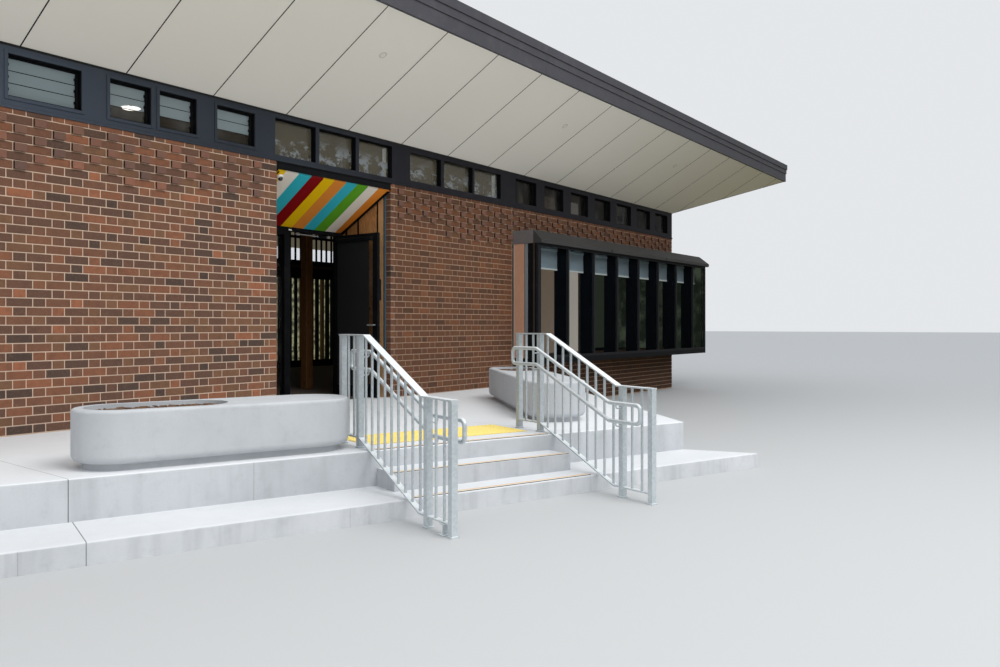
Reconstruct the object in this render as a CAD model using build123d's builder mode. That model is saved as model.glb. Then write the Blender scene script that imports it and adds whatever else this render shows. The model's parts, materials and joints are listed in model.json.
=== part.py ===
from build123d import *
import math
import os

# School building with a raised entrance terrace: brick walls, a clerestory band, a flared roof
# edge, a corner bay window, a recessed entrance and a stair between two steel balustrades.
# Lengths are in millimetres. The origin lies under the centre of the whole object, on the ground.
os.makedirs("parts", exist_ok=True)

# Walls
WALL_LENGTH = 16480
WALL_DEPTH = 8400
WALL_THICKNESS = 270
BRICK_TOP = 3510
WALL_TOP = 4110
FLOOR_LEVEL = 440
FLOOR_THICKNESS = 150
CEILING_THICKNESS = 30
PARTITION_PLACE = (12200, 1010)
PARTITION_LENGTH = 1670
PARTITION_THICKNESS = 80

# Entrance recess
ENTRY_START = 4935
ENTRY_WIDTH = 2019
RECESS_DEPTH = 955
LINTEL_HEIGHT = 100
BRICK_LEAF = 110
LINING_THICKNESS = 100
LINING_PROUD = 28
ENTRY_SOFFIT_THICKNESS = 20
DOME_PLACE = 105
DOME_SIZE = 90

# Entrance door
DOOR_OPENING = 884
DOOR_HEAD = 2360
DOOR_THICKNESS = 45
DOOR_GAP = 6
DOOR_STILE = 95
DOOR_BOTTOM_RAIL = 190
FRAME_DEPTH = 100
FRAME_HEAD = 70
FRAME_POST = 60
MIDDLE_POST = 105
HINGE_POST = 106
GLASS_THICKNESS = 10
GLASS_GAP = 2
HANDLE_HEIGHT = 1040
HANDLE_LENGTH = 125
HANDLE_OUT = 50
HINGE_OUT = 10
HINGE_HEIGHT = 100
HINGE_PLATE = 40
HINGE_PLATE_THICKNESS = 3
HINGE_PLATE_GAP = 3
HINGE_PLACES = (250, 1180, 2110)
KNUCKLE_SIZE = 18
PIN_SIZE = 8
PIN_CLEARANCE = 0.3

# Clerestory band
CLERESTORY_THICKNESS = 200
ROOM_WINDOW_SILL = 3620
ROOM_WINDOW_HEIGHT = 398
HALL_WINDOW_SILL = 3582
HALL_WINDOW_HEIGHT = 458
HALL_WINDOW_PITCH = 711
HALL_WINDOW_WIDTH = 652
BAY_WINDOW_SILL = 3608
BAY_WINDOW_HEIGHT = 415
BAY_WINDOW_WIDTH = 650
BAY_WINDOW_OFFSET = 35
ROOM_WINDOWS = ((860, 690), (1824, 688), (2805, 454), (3359, 452), (4078, 523))
CLASS_WINDOWS = ((7364, 703), (8136, 721), (8907, 723))

# Tall rear window
REAR_WINDOW_START = 2900
REAR_WINDOW_BAYS = 3
REAR_WINDOW_SILL = 540
REAR_WINDOW_HEAD = 3100

# Corner bay window
BAY_START = 9966
BAY_EDGE_STRIP = 64
BAY_PITCH = 920
BAY_CORNER_PANE = 728
BAY_OUT = 537
BAY_PAST_END = 718
BAY_RETURN = 2200
BAY_SIDE_PANES = 3
BAY_SILL_TOP = 910
BAY_SILL_HEIGHT = 90
BAY_HEAD = 2870
HOOD_TOP = 3100
HOOD_OUT = 63
HOOD_SLOPE = 170
FIN_THICKNESS = 60
FIN_DEPTH = 240
MULLION_WIDTH = 45
MULLION_DEPTH = 40
BLIND_BACK = 170
BLIND_DROP = 390
BLIND_THICKNESS = 8
BLIND_GAP = 10
SIDE_PANEL_THICKNESS = 30
SEAT_THICKNESS = 40

# Roof
EAVE_FRONT = 1786
EAVE_END = 2830
EAVE_LEVEL = 5070
SOFFIT_THICKNESS = 34
FASCIA_HEIGHT = 414
FASCIA_THICKNESS = 40
FASCIA_LOWER = 190
FASCIA_STEP = 14
GUTTER_HEIGHT = 120
GUTTER_OUT = 30
DECK_THICKNESS = 60
DECK_DROP = 60

# Terrace and stair
STAIR_X = 4089
STAIR_Y = -3688
STAIR_TURN = 19.7
RISERS = 3
GOING = 315
FLIGHT_WIDTH = 1800
TERRACE_RIGHT = 2715
TERRACE_EDGE_TURN = 45.6
LOWER_STEP_RIGHT = 3145
CONCRETE_EDGE = 14
NOSING_LENGTH = 1790
NOSING_WIDTH = 50
NOSING_BACK = 15
NOSING_THICKNESS = 5
PAD_DEPTH = 610
PAD_WIDTH = 1710
PAD_BACK = 303
PAD_THICKNESS = 6

# Balustrades
RAIL_SPACING = 1910
POST_SIZE = 50
RAIL_PITCH = 117.6
RAIL_START = 567
RAIL_STATIONS = 17
POST_STATIONS = (0, 3, 13, 16)
RAIL_HEIGHT = 960
RAIL_WIDTH = 65
RAIL_THICKNESS = 12
RAIL_TOP_BENDS = (90, -910)
RAIL_FOOT_BENDS = (200, -860)
BOTTOM_RAIL_HEIGHT = 95
BOTTOM_RAIL_WIDTH = 50
BALUSTER_SIZE = 16
FOOT_PLATE = 66
FOOT_THICKNESS = 10
HANDRAIL_SIZE = 34
HANDRAIL_OUT = 80
HANDRAIL_UPPER = 812
HANDRAIL_LOWER = 658
HANDRAIL_BENDS = (172, -876)
HANDRAIL_UPPER_END = 570
HANDRAIL_LOWER_ENDS = {-1: -1340, 1: -1258}
HANDRAIL_LOOP = 42
BRACKET_SIZE = 12
BRACKET_DROP = 45
BRACKET_BEND = 18
BRACKET_STATIONS = (3, 13)

# Bench planters
PLANTER_HEIGHT = 435
PLANTER_WIDTH = 660
PLANTER_PLINTH = 50
PLANTER_PLINTH_INSET = 75
PLANTER_WALL = 80
PLANTER_EDGE = 25
PLANTER_FOOT_EDGE = 55
POCKET_DEPTH = 300
POCKET_LENGTH = 1030
SOIL_BELOW_RIM = 40
LEFT_PLANTER_PLACE = (-2068, 405)
LEFT_PLANTER_LENGTH = 2117
RIGHT_PLANTER_PLACE = (6941, -2430)
RIGHT_PLANTER_LENGTH = 3300

# Planes
turn = math.radians(STAIR_TURN)
stair_depth = (RISERS - 1) * GOING
riser = FLOOR_LEVEL / RISERS
front_reach = STAIR_Y - LOWER_STEP_RIGHT * math.sin(turn) - stair_depth * math.cos(turn)
rear_reach = WALL_DEPTH + EAVE_FRONT + GUTTER_OUT
UP = (0, 0, 1)
SITE = Plane(origin=(-WALL_LENGTH / 2, -(front_reach + rear_reach) / 2, 0))


def place(x, y, z=0):
    """A point given from the left front corner of the brickwork."""
    return SITE.from_local_coords(Vector(x, y, z))


# Every wall plane is seen from outside, with its own x to the right and its own y up
FRONT = Plane(origin=place(0, 0), x_dir=(1, 0, 0), z_dir=(0, -1, 0))
RIGHT = Plane(origin=place(WALL_LENGTH, 0), x_dir=(0, 1, 0), z_dir=(1, 0, 0))
REAR = Plane(origin=place(WALL_LENGTH, WALL_DEPTH), x_dir=(-1, 0, 0), z_dir=(0, 1, 0))
LEFT = Plane(origin=place(0, WALL_DEPTH), x_dir=(0, -1, 0), z_dir=(-1, 0, 0))
STAIR = Plane(
    origin=place(STAIR_X, STAIR_Y), x_dir=(math.cos(turn), -math.sin(turn), 0), z_dir=UP
)


def keep(piece, name):
    """Name a finished piece and write its file."""
    piece.part.label = name
    export_step(piece.part, f"parts/{name}.step")


def block(x_range, y_range, z_range, plane=SITE):
    """Add a plain slab or post between two corners to the part being built."""
    with BuildSketch(plane.offset(z_range[0])) as base:
        with Locations(((x_range[0] + x_range[1]) / 2, (y_range[0] + y_range[1]) / 2)):
            Rectangle(x_range[1] - x_range[0], y_range[1] - y_range[0])
    extrude(base.sketch, amount=z_range[1] - z_range[0])


def slab(plane, x_range, z_range, thickness, openings=()):
    """Add an upright slab behind its plane, with openings given as x, z, width and height."""
    with BuildSketch(plane) as face:
        with Locations(((x_range[0] + x_range[1]) / 2, (z_range[0] + z_range[1]) / 2)):
            Rectangle(x_range[1] - x_range[0], z_range[1] - z_range[0])
        for x, z, width, height in openings:
            with Locations((x + width / 2, z + height / 2)):
                Rectangle(width, height, mode=Mode.SUBTRACT)
    extrude(face.sketch, amount=-thickness)


# The mullions of the bay window share the length between its left strip and its corner pane
bay_right = WALL_LENGTH + BAY_PAST_END
first_mullion = BAY_START + BAY_EDGE_STRIP
last_mullion = bay_right - BAY_CORNER_PANE
bay_panes = round((last_mullion - first_mullion) / BAY_PITCH)
bay_pitch = (last_mullion - first_mullion) / bay_panes

# Floor and brick walls
inner_end = WALL_LENGTH - WALL_THICKNESS
inner_rear = WALL_DEPTH - WALL_THICKNESS
entry_end = ENTRY_START + ENTRY_WIDTH
bay_sill_bottom = BAY_SILL_TOP - BAY_SILL_HEIGHT
rear_window_width = REAR_WINDOW_BAYS * BAY_PITCH

with BuildPart() as floor_slab:
    block((WALL_THICKNESS, inner_end), (WALL_THICKNESS, inner_rear),
          (FLOOR_LEVEL - FLOOR_THICKNESS, FLOOR_LEVEL))
keep(floor_slab, "floor_slab")

with BuildPart() as entry_threshold:
    block((ENTRY_START, entry_end), (0, WALL_THICKNESS), (0, FLOOR_LEVEL))
keep(entry_threshold, "entry_threshold")

with BuildPart() as front_wall_left:
    slab(FRONT, (WALL_THICKNESS, ENTRY_START), (0, BRICK_TOP), WALL_THICKNESS)
keep(front_wall_left, "front_wall_left")

with BuildPart() as front_wall_middle:
    slab(FRONT, (entry_end, BAY_START), (0, BRICK_TOP), WALL_THICKNESS)
keep(front_wall_middle, "front_wall_middle")

with BuildPart() as bay_base_wall:
    slab(FRONT, (BAY_START, inner_end), (0, bay_sill_bottom), WALL_THICKNESS)
keep(bay_base_wall, "bay_base_wall")

with BuildPart() as bay_head_wall:
    slab(FRONT, (BAY_START, inner_end), (HOOD_TOP, BRICK_TOP), WALL_THICKNESS)
keep(bay_head_wall, "bay_head_wall")

with BuildPart() as right_base_wall:
    slab(RIGHT, (0, BAY_RETURN), (0, bay_sill_bottom), WALL_THICKNESS)
keep(right_base_wall, "right_base_wall")

with BuildPart() as right_head_wall:
    slab(RIGHT, (0, BAY_RETURN), (HOOD_TOP, BRICK_TOP), WALL_THICKNESS)
keep(right_head_wall, "right_head_wall")

with BuildPart() as right_wall:
    slab(RIGHT, (BAY_RETURN, WALL_DEPTH), (0, BRICK_TOP), WALL_THICKNESS)
keep(right_wall, "right_wall")

with BuildPart() as left_wall:
    slab(LEFT, (0, WALL_DEPTH), (0, BRICK_TOP), WALL_THICKNESS)
keep(left_wall, "left_wall")

rear_window_height = REAR_WINDOW_HEAD - REAR_WINDOW_SILL
with BuildPart() as rear_wall:
    slab(REAR, (WALL_THICKNESS, inner_end), (0, BRICK_TOP), WALL_THICKNESS,
         [(REAR_WINDOW_START, REAR_WINDOW_SILL, rear_window_width, rear_window_height)])
keep(rear_wall, "rear_wall")


def panes(start, pitch, count, sill, head):
    """The clear panes between mullions that stand on a regular pitch."""
    return [
        (start + k * pitch + MULLION_WIDTH / 2, sill + MULLION_WIDTH,
         pitch - MULLION_WIDTH, head - sill - 2 * MULLION_WIDTH)
        for k in range(count)
    ]


rear_window_end = REAR_WINDOW_START + rear_window_width
with BuildPart() as rear_window_frame:
    slab(REAR.offset(-MULLION_DEPTH), (REAR_WINDOW_START, rear_window_end),
         (REAR_WINDOW_SILL, REAR_WINDOW_HEAD), MULLION_DEPTH,
         panes(REAR_WINDOW_START, BAY_PITCH, REAR_WINDOW_BAYS, REAR_WINDOW_SILL, REAR_WINDOW_HEAD))
keep(rear_window_frame, "rear_window_frame")

with BuildPart() as rear_window_glass:
    slab(REAR.offset(-2 * MULLION_DEPTH), (REAR_WINDOW_START, rear_window_end),
         (REAR_WINDOW_SILL, REAR_WINDOW_HEAD), GLASS_THICKNESS)
keep(rear_window_glass, "rear_window_glass")

# Clerestory band with one sheet of glass behind each side
room_row = [(x, ROOM_WINDOW_SILL, width, ROOM_WINDOW_HEIGHT) for x, width in ROOM_WINDOWS]
hall_start = ENTRY_START + (ENTRY_WIDTH - 2 * HALL_WINDOW_PITCH - HALL_WINDOW_WIDTH) / 2
hall_row = [
    (hall_start + k * HALL_WINDOW_PITCH, HALL_WINDOW_SILL, HALL_WINDOW_WIDTH, HALL_WINDOW_HEIGHT)
    for k in range(3)
]
class_row = [(x, BAY_WINDOW_SILL, width, BAY_WINDOW_HEIGHT) for x, width in CLASS_WINDOWS]


def bay_row(start, count, pitch=BAY_PITCH):
    """Like clerestory windows on the pitch of the bay window."""
    return [
        (start + k * pitch, BAY_WINDOW_SILL, BAY_WINDOW_WIDTH, BAY_WINDOW_HEIGHT)
        for k in range(count)
    ]


front_row = bay_row(first_mullion + BAY_WINDOW_OFFSET, bay_panes, bay_pitch)
end_count = int((WALL_DEPTH - 2 * BAY_PITCH) / BAY_PITCH)
end_start = (WALL_DEPTH - (end_count - 1) * BAY_PITCH - BAY_WINDOW_WIDTH) / 2
rear_count = int((WALL_LENGTH - 2 * BAY_PITCH) / BAY_PITCH)
rear_start = (WALL_LENGTH - (rear_count - 1) * BAY_PITCH - BAY_WINDOW_WIDTH) / 2

with BuildPart() as clerestory_front:
    slab(FRONT, (0, WALL_LENGTH), (BRICK_TOP, WALL_TOP), CLERESTORY_THICKNESS,
         room_row + hall_row + class_row + front_row)
keep(clerestory_front, "clerestory_front")

with BuildPart() as clerestory_rear:
    slab(REAR, (0, WALL_LENGTH), (BRICK_TOP, WALL_TOP), CLERESTORY_THICKNESS,
         bay_row(rear_start, rear_count))
keep(clerestory_rear, "clerestory_rear")

with BuildPart() as clerestory_ends:
    for plane in (RIGHT, LEFT):
        slab(plane, (CLERESTORY_THICKNESS, WALL_DEPTH - CLERESTORY_THICKNESS),
             (BRICK_TOP, WALL_TOP), CLERESTORY_THICKNESS, bay_row(end_start, end_count))
keep(clerestory_ends, "clerestory_ends")

glass_sides = [("front", [(FRONT, WALL_LENGTH)]), ("rear", [(REAR, WALL_LENGTH)]),
               ("ends", [(RIGHT, WALL_DEPTH), (LEFT, WALL_DEPTH)])]
glass_inset = CLERESTORY_THICKNESS + GLASS_THICKNESS
for name, sides in glass_sides:
    with BuildPart() as clerestory_glass:
        for plane, length in sides:
            slab(plane.offset(-CLERESTORY_THICKNESS), (glass_inset, length - glass_inset),
                 (BRICK_TOP, WALL_TOP), GLASS_THICKNESS)
    keep(clerestory_glass, f"clerestory_glass_{name}")

with BuildPart() as ceiling:
    block((0, WALL_LENGTH), (0, WALL_DEPTH), (WALL_TOP, WALL_TOP + CEILING_THICKNESS))
keep(ceiling, "ceiling")

partition_x, partition_y = PARTITION_PLACE
with BuildPart() as inner_partition:
    block((partition_x, partition_x + PARTITION_LENGTH),
          (partition_y, partition_y + PARTITION_THICKNESS), (FLOOR_LEVEL, WALL_TOP))
keep(inner_partition, "inner_partition")

# Entrance recess
lintel_bottom = BRICK_TOP - LINTEL_HEIGHT
door_top = FLOOR_LEVEL + DOOR_HEAD
frame_top = door_top + FRAME_HEAD
recess_left = ENTRY_START + LINING_PROUD
recess_right = entry_end - LINING_PROUD
recess_rear = RECESS_DEPTH + FRAME_DEPTH

with BuildPart() as entry_lintel:
    slab(FRONT, (ENTRY_START, entry_end), (lintel_bottom, BRICK_TOP), WALL_THICKNESS)
keep(entry_lintel, "entry_lintel")

with BuildPart() as entry_linings:
    with BuildSketch(SITE.offset(FLOOR_LEVEL)):
        for edge, side in ((ENTRY_START, -1), (entry_end, 1)):
            with BuildLine():
                Polyline(
                    (edge - side * LINING_PROUD, BRICK_LEAF),
                    (edge, BRICK_LEAF),
                    (edge, WALL_THICKNESS),
                    (edge + side * LINING_THICKNESS, WALL_THICKNESS),
                    (edge + side * LINING_THICKNESS, recess_rear),
                    (edge - side * LINING_PROUD, recess_rear),
                    close=True,
                )
            make_face()
    extrude(amount=lintel_bottom - FLOOR_LEVEL)
keep(entry_linings, "entry_linings")

soffit_section = Plane(origin=place(recess_left, 0), x_dir=(0, 1, 0), z_dir=(1, 0, 0))
with BuildPart() as entry_soffit:
    with BuildSketch(soffit_section):
        with BuildLine():
            Polyline(
                (0, lintel_bottom),
                (0, lintel_bottom - ENTRY_SOFFIT_THICKNESS),
                (RECESS_DEPTH, frame_top - ENTRY_SOFFIT_THICKNESS),
                (RECESS_DEPTH, frame_top),
                close=True,
            )
        make_face()
    extrude(amount=recess_right - recess_left)
keep(entry_soffit, "entry_soffit")

soffit_slope = math.atan2(lintel_bottom - frame_top, RECESS_DEPTH)
dome_level = lintel_bottom - ENTRY_SOFFIT_THICKNESS - DOME_SIZE * math.tan(soffit_slope)
dome_plane = Plane(
    origin=place(ENTRY_START + DOME_PLACE, DOME_SIZE, dome_level),
    x_dir=(1, 0, 0),
    z_dir=(0, -math.sin(soffit_slope), -math.cos(soffit_slope)),
)
with BuildPart() as dome_camera:
    with BuildSketch(dome_plane):
        Circle(DOME_SIZE / 2)
    extrude(amount=DOME_SIZE / 2)
    fillet(dome_camera.edges().filter_by(GeomType.CIRCLE).sort_by(Axis.Z)[0], DOME_SIZE / 3)
keep(dome_camera, "dome_camera")

# Door frame with its sidelight
door_face = FRONT.offset(-RECESS_DEPTH)
opening_end = recess_right - HINGE_POST
opening_start = opening_end - DOOR_OPENING
sidelight_start = recess_left + FRAME_POST
sidelight_width = opening_start - MIDDLE_POST - sidelight_start
sidelight_height = DOOR_HEAD - 2 * FRAME_POST

with BuildPart() as sidelight_frame:
    slab(door_face, (recess_left, opening_start), (FLOOR_LEVEL, frame_top), FRAME_DEPTH,
         [(sidelight_start, FLOOR_LEVEL + FRAME_POST, sidelight_width, sidelight_height)])
keep(sidelight_frame, "sidelight_frame")

with BuildPart() as sidelight_glass:
    slab(door_face.offset(-FRAME_DEPTH / 2), (sidelight_start, sidelight_start + sidelight_width),
         (FLOOR_LEVEL + FRAME_POST, FLOOR_LEVEL + FRAME_POST + sidelight_height),
         GLASS_THICKNESS)
keep(sidelight_glass, "sidelight_glass")

with BuildPart() as door_frame_head:
    slab(door_face, (opening_start, recess_right), (door_top, frame_top), FRAME_DEPTH)
keep(door_frame_head, "door_frame_head")

with BuildPart() as hinge_post:
    slab(door_face, (opening_end, recess_right), (FLOOR_LEVEL, door_top), FRAME_DEPTH)
keep(hinge_post, "hinge_post")

# Door leaf, standing open at a right angle to its frame
leaf_width = DOOR_OPENING - 2 * DOOR_GAP
leaf_bottom = FLOOR_LEVEL + DOOR_GAP
leaf_top = door_top - DOOR_GAP
leaf_glass_width = leaf_width - 2 * DOOR_STILE
leaf_glass_height = leaf_top - leaf_bottom - DOOR_STILE - DOOR_BOTTOM_RAIL
hinge_x = opening_end - DOOR_GAP
hinge_y = RECESS_DEPTH - HINGE_OUT
leaf_plane = Plane(
    origin=place(hinge_x - HINGE_OUT, hinge_y - leaf_width), x_dir=(0, 1, 0), z_dir=(1, 0, 0)
)

with BuildPart() as door_leaf:
    slab(leaf_plane, (0, leaf_width), (leaf_bottom, leaf_top), DOOR_THICKNESS,
         [(DOOR_STILE, leaf_bottom + DOOR_BOTTOM_RAIL, leaf_glass_width, leaf_glass_height)])
keep(door_leaf, "door_leaf")

with BuildPart() as door_glass:
    slab(leaf_plane.offset(-(DOOR_THICKNESS - GLASS_THICKNESS) / 2),
         (DOOR_STILE, DOOR_STILE + leaf_glass_width),
         (leaf_bottom + DOOR_BOTTOM_RAIL, leaf_bottom + DOOR_BOTTOM_RAIL + leaf_glass_height),
         GLASS_THICKNESS)
keep(door_glass, "door_glass")

with BuildPart() as door_handles:
    for face, side in ((leaf_plane, 1), (leaf_plane.offset(-DOOR_THICKNESS), -1)):
        with BuildSketch(face):
            with Locations((DOOR_STILE / 2, FLOOR_LEVEL + HANDLE_HEIGHT)):
                Circle(HANDLE_OUT / 5)
        extrude(amount=side * HANDLE_OUT)
        with BuildSketch(face.offset(side * HANDLE_OUT)):
            with Locations((DOOR_STILE / 2 + HANDLE_LENGTH / 2 - HANDLE_OUT / 5,
                            FLOOR_LEVEL + HANDLE_HEIGHT)):
                RectangleRounded(HANDLE_LENGTH, HANDLE_OUT * 2 / 5, HANDLE_OUT / 6)
        extrude(amount=-side * HANDLE_OUT / 4)
keep(door_handles, "door_handles")

# Hinges: a knuckle with its pin on the frame, and above it a bored knuckle on the leaf
with BuildPart() as hinge_pins:
    for height in HINGE_PLACES:
        with BuildSketch(SITE.offset(FLOOR_LEVEL + height)):
            with Locations((hinge_x, hinge_y)):
                Circle(KNUCKLE_SIZE / 2)
            with Locations((hinge_x + HINGE_PLATE_GAP + HINGE_PLATE / 2,
                            RECESS_DEPTH - HINGE_PLATE_THICKNESS / 2)):
                Rectangle(HINGE_PLATE, HINGE_PLATE_THICKNESS)
        extrude(amount=HINGE_HEIGHT / 2)
        with BuildSketch(SITE.offset(FLOOR_LEVEL + height)):
            with Locations((hinge_x, hinge_y)):
                Circle(PIN_SIZE / 2)
        extrude(amount=HINGE_HEIGHT)
keep(hinge_pins, "hinge_pins")

with BuildPart() as leaf_hinges:
    for height in HINGE_PLACES:
        knuckle_level = FLOOR_LEVEL + height + HINGE_HEIGHT / 2 + PIN_CLEARANCE
        with BuildSketch(SITE.offset(knuckle_level)):
            with Locations((hinge_x, hinge_y)):
                Circle(KNUCKLE_SIZE / 2)
            with Locations((hinge_x - HINGE_OUT + HINGE_PLATE_THICKNESS / 2,
                            hinge_y - HINGE_PLATE_GAP - HINGE_PLATE / 2)):
                Rectangle(HINGE_PLATE_THICKNESS, HINGE_PLATE)
            with Locations((hinge_x, hinge_y)):
                Circle(PIN_SIZE / 2 + PIN_CLEARANCE, mode=Mode.SUBTRACT)
        extrude(amount=HINGE_HEIGHT / 2)
keep(leaf_hinges, "leaf_hinges")

# Corner bay window
bay_face = FRONT.offset(BAY_OUT)
bay_side_face = RIGHT.offset(BAY_PAST_END)
glass_front = MULLION_DEPTH - BAY_OUT
glass_back = glass_front + GLASS_THICKNESS
fin_back = glass_back + FIN_DEPTH
side_pitch = (BAY_RETURN - glass_front - MULLION_WIDTH) / BAY_SIDE_PANES
side_first = glass_front + MULLION_WIDTH / 2

with BuildPart() as bay_floor_front:
    block((BAY_START, bay_right), (-BAY_OUT, WALL_THICKNESS), (bay_sill_bottom, BAY_SILL_TOP))
keep(bay_floor_front, "bay_floor_front")

with BuildPart() as bay_floor_side:
    block((inner_end, bay_right), (WALL_THICKNESS, BAY_RETURN), (bay_sill_bottom, BAY_SILL_TOP))
keep(bay_floor_side, "bay_floor_side")

corner_pane = (last_mullion + MULLION_WIDTH / 2, BAY_SILL_TOP + MULLION_WIDTH,
               bay_right - last_mullion - MULLION_WIDTH * 3 / 2,
               BAY_HEAD - BAY_SILL_TOP - 2 * MULLION_WIDTH)
with BuildPart() as bay_frame_front:
    slab(bay_face, (BAY_START, bay_right), (BAY_SILL_TOP, BAY_HEAD), MULLION_DEPTH,
         panes(first_mullion, bay_pitch, bay_panes, BAY_SILL_TOP, BAY_HEAD) + [corner_pane])
keep(bay_frame_front, "bay_frame_front")

with BuildPart() as bay_frame_side:
    slab(bay_side_face, (glass_front, BAY_RETURN), (BAY_SILL_TOP, BAY_HEAD), MULLION_DEPTH,
         panes(side_first, side_pitch, BAY_SIDE_PANES, BAY_SILL_TOP, BAY_HEAD))
keep(bay_frame_side, "bay_frame_side")

glass_left = BAY_START + SIDE_PANEL_THICKNESS
glass_right = bay_right - MULLION_DEPTH
with BuildPart() as bay_glass:
    slab(FRONT.offset(-glass_front), (glass_left, glass_right), (BAY_SILL_TOP, BAY_HEAD),
         GLASS_THICKNESS)
    slab(bay_side_face.offset(-MULLION_DEPTH), (glass_back + GLASS_GAP, BAY_RETURN),
         (BAY_SILL_TOP, BAY_HEAD), GLASS_THICKNESS)
keep(bay_glass, "bay_glass")

with BuildPart() as bay_fins:
    for k in range(bay_panes + 1):
        middle = first_mullion + k * bay_pitch
        block((middle - FIN_THICKNESS / 2, middle + FIN_THICKNESS / 2), (glass_back, fin_back),
              (BAY_SILL_TOP, BAY_HEAD))
    for k in range(1, BAY_SIDE_PANES):
        middle = side_first + k * side_pitch
        fin_right = glass_right - GLASS_THICKNESS
        block((fin_right - FIN_DEPTH, fin_right),
              (middle - FIN_THICKNESS / 2, middle + FIN_THICKNESS / 2), (BAY_SILL_TOP, BAY_HEAD))
keep(bay_fins, "bay_fins")

with BuildPart() as bay_blinds:
    for k in range(bay_panes):
        middle = first_mullion + (k + 1 / 2) * bay_pitch
        half = (bay_pitch - FIN_THICKNESS) / 2 - BLIND_GAP
        block((middle - half, middle + half),
              (glass_back + BLIND_BACK, glass_back + BLIND_BACK + BLIND_THICKNESS),
              (BAY_HEAD - BLIND_DROP, BAY_HEAD))
keep(bay_blinds, "bay_blinds")

with BuildPart() as bay_side_panel:
    block((BAY_START, glass_left), (glass_front, 0), (BAY_SILL_TOP, BAY_HEAD))
keep(bay_side_panel, "bay_side_panel")

with BuildPart() as bay_seat:
    block((glass_left, inner_end), (fin_back, WALL_THICKNESS),
          (BAY_SILL_TOP, BAY_SILL_TOP + SEAT_THICKNESS))
keep(bay_seat, "bay_seat")

# The hood over the bay: one bevelled slab round the corner, kept as a front and a side length
hood_front = -BAY_OUT - HOOD_OUT
hood_right = bay_right + HOOD_OUT
for name, keep_side in (("bay_hood_front", Keep.BOTTOM), ("bay_hood_side", Keep.TOP)):
    with BuildPart() as bay_hood:
        with BuildSketch(SITE.offset(BAY_HEAD)):
            with BuildLine():
                Polyline(
                    (BAY_START, hood_front),
                    (hood_right, hood_front),
                    (hood_right, BAY_RETURN),
                    (inner_end, BAY_RETURN),
                    (inner_end, WALL_THICKNESS),
                    (BAY_START, WALL_THICKNESS),
                    close=True,
                )
            make_face()
        extrude(amount=HOOD_TOP - BAY_HEAD)
        top_edges = bay_hood.faces().sort_by(Axis.Z)[-1].edges()
        outer_edges = [top_edges.filter_by(Axis.X).sort_by(Axis.Y)[0],
                       top_edges.filter_by(Axis.Y).sort_by(Axis.X)[-1]]
        chamfer(outer_edges, HOOD_SLOPE)
        split(bisect_by=Plane(origin=place(0, WALL_THICKNESS), z_dir=(0, 1, 0)), keep=keep_side)
    keep(bay_hood, name)

# Roof edge: flared soffits mitred at the corners, and the stepped fascia round them
fascia_top = EAVE_LEVEL + FASCIA_HEIGHT
roof_pairs = [
    ("long", (FRONT, REAR), WALL_LENGTH, EAVE_FRONT, EAVE_END),
    ("end", (RIGHT, LEFT), WALL_DEPTH, EAVE_END, EAVE_FRONT),
]


def roof_side(plane, profile, plan_points, length):
    """Add one straight length of roof edge: a section run along a wall, cut to its plan."""
    section = Plane(
        origin=plane.from_local_coords(Vector(length + EAVE_END + EAVE_FRONT, 0, 0)),
        x_dir=plane.z_dir, z_dir=-plane.x_dir,
    )
    with BuildSketch(section) as edge_section:
        with BuildLine():
            Polyline(*profile, close=True)
        make_face()
    with BuildSketch(Plane(origin=plane.origin, x_dir=plane.x_dir, z_dir=UP)) as edge_plan:
        with BuildLine():
            Polyline(*plan_points, close=True)
        make_face()
    run = extrude(edge_section.sketch, amount=length + 2 * (EAVE_END + EAVE_FRONT),
                  mode=Mode.PRIVATE)
    add(run & extrude(edge_plan.sketch, amount=fascia_top, mode=Mode.PRIVATE))


for name, planes, length, eave, end_eave in roof_pairs:
    run = eave - FASCIA_THICKNESS
    end_run = end_eave - FASCIA_THICKNESS
    soffit_profile = [
        (0, WALL_TOP),
        (run, EAVE_LEVEL),
        (run, EAVE_LEVEL + SOFFIT_THICKNESS),
        (0, WALL_TOP + SOFFIT_THICKNESS),
    ]
    soffit_plan = [(0, 0), (length, 0), (length + end_run, -run), (-end_run, -run)]
    fascia_profile = [
        (run, EAVE_LEVEL),
        (eave, EAVE_LEVEL),
        (eave, EAVE_LEVEL + FASCIA_LOWER),
        (eave + FASCIA_STEP, EAVE_LEVEL + FASCIA_LOWER),
        (eave + FASCIA_STEP, fascia_top - GUTTER_HEIGHT),
        (eave + GUTTER_OUT, fascia_top - GUTTER_HEIGHT),
        (eave + GUTTER_OUT, fascia_top),
        (run, fascia_top),
    ]
    fascia_plan = [
        (-end_run, -run),
        (length + end_run, -run),
        (length + end_eave + GUTTER_OUT, -eave - GUTTER_OUT),
        (-end_eave - GUTTER_OUT, -eave - GUTTER_OUT),
    ]
    with BuildPart() as roof_soffits:
        for plane in planes:
            roof_side(plane, soffit_profile, soffit_plan, length)
    keep(roof_soffits, f"{name}_soffits")

    with BuildPart() as roof_fascias:
        for plane in planes:
            roof_side(plane, fascia_profile, fascia_plan, length)
    keep(roof_fascias, f"{name}_fascias")

deck_top = fascia_top - DECK_DROP
deck_end = EAVE_END - FASCIA_THICKNESS
deck_side = EAVE_FRONT - FASCIA_THICKNESS
with BuildPart() as roof_deck:
    block((-deck_end, WALL_LENGTH + deck_end), (-deck_side, WALL_DEPTH + deck_side),
          (deck_top - DECK_THICKNESS, deck_top))
keep(roof_deck, "roof_deck")

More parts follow.
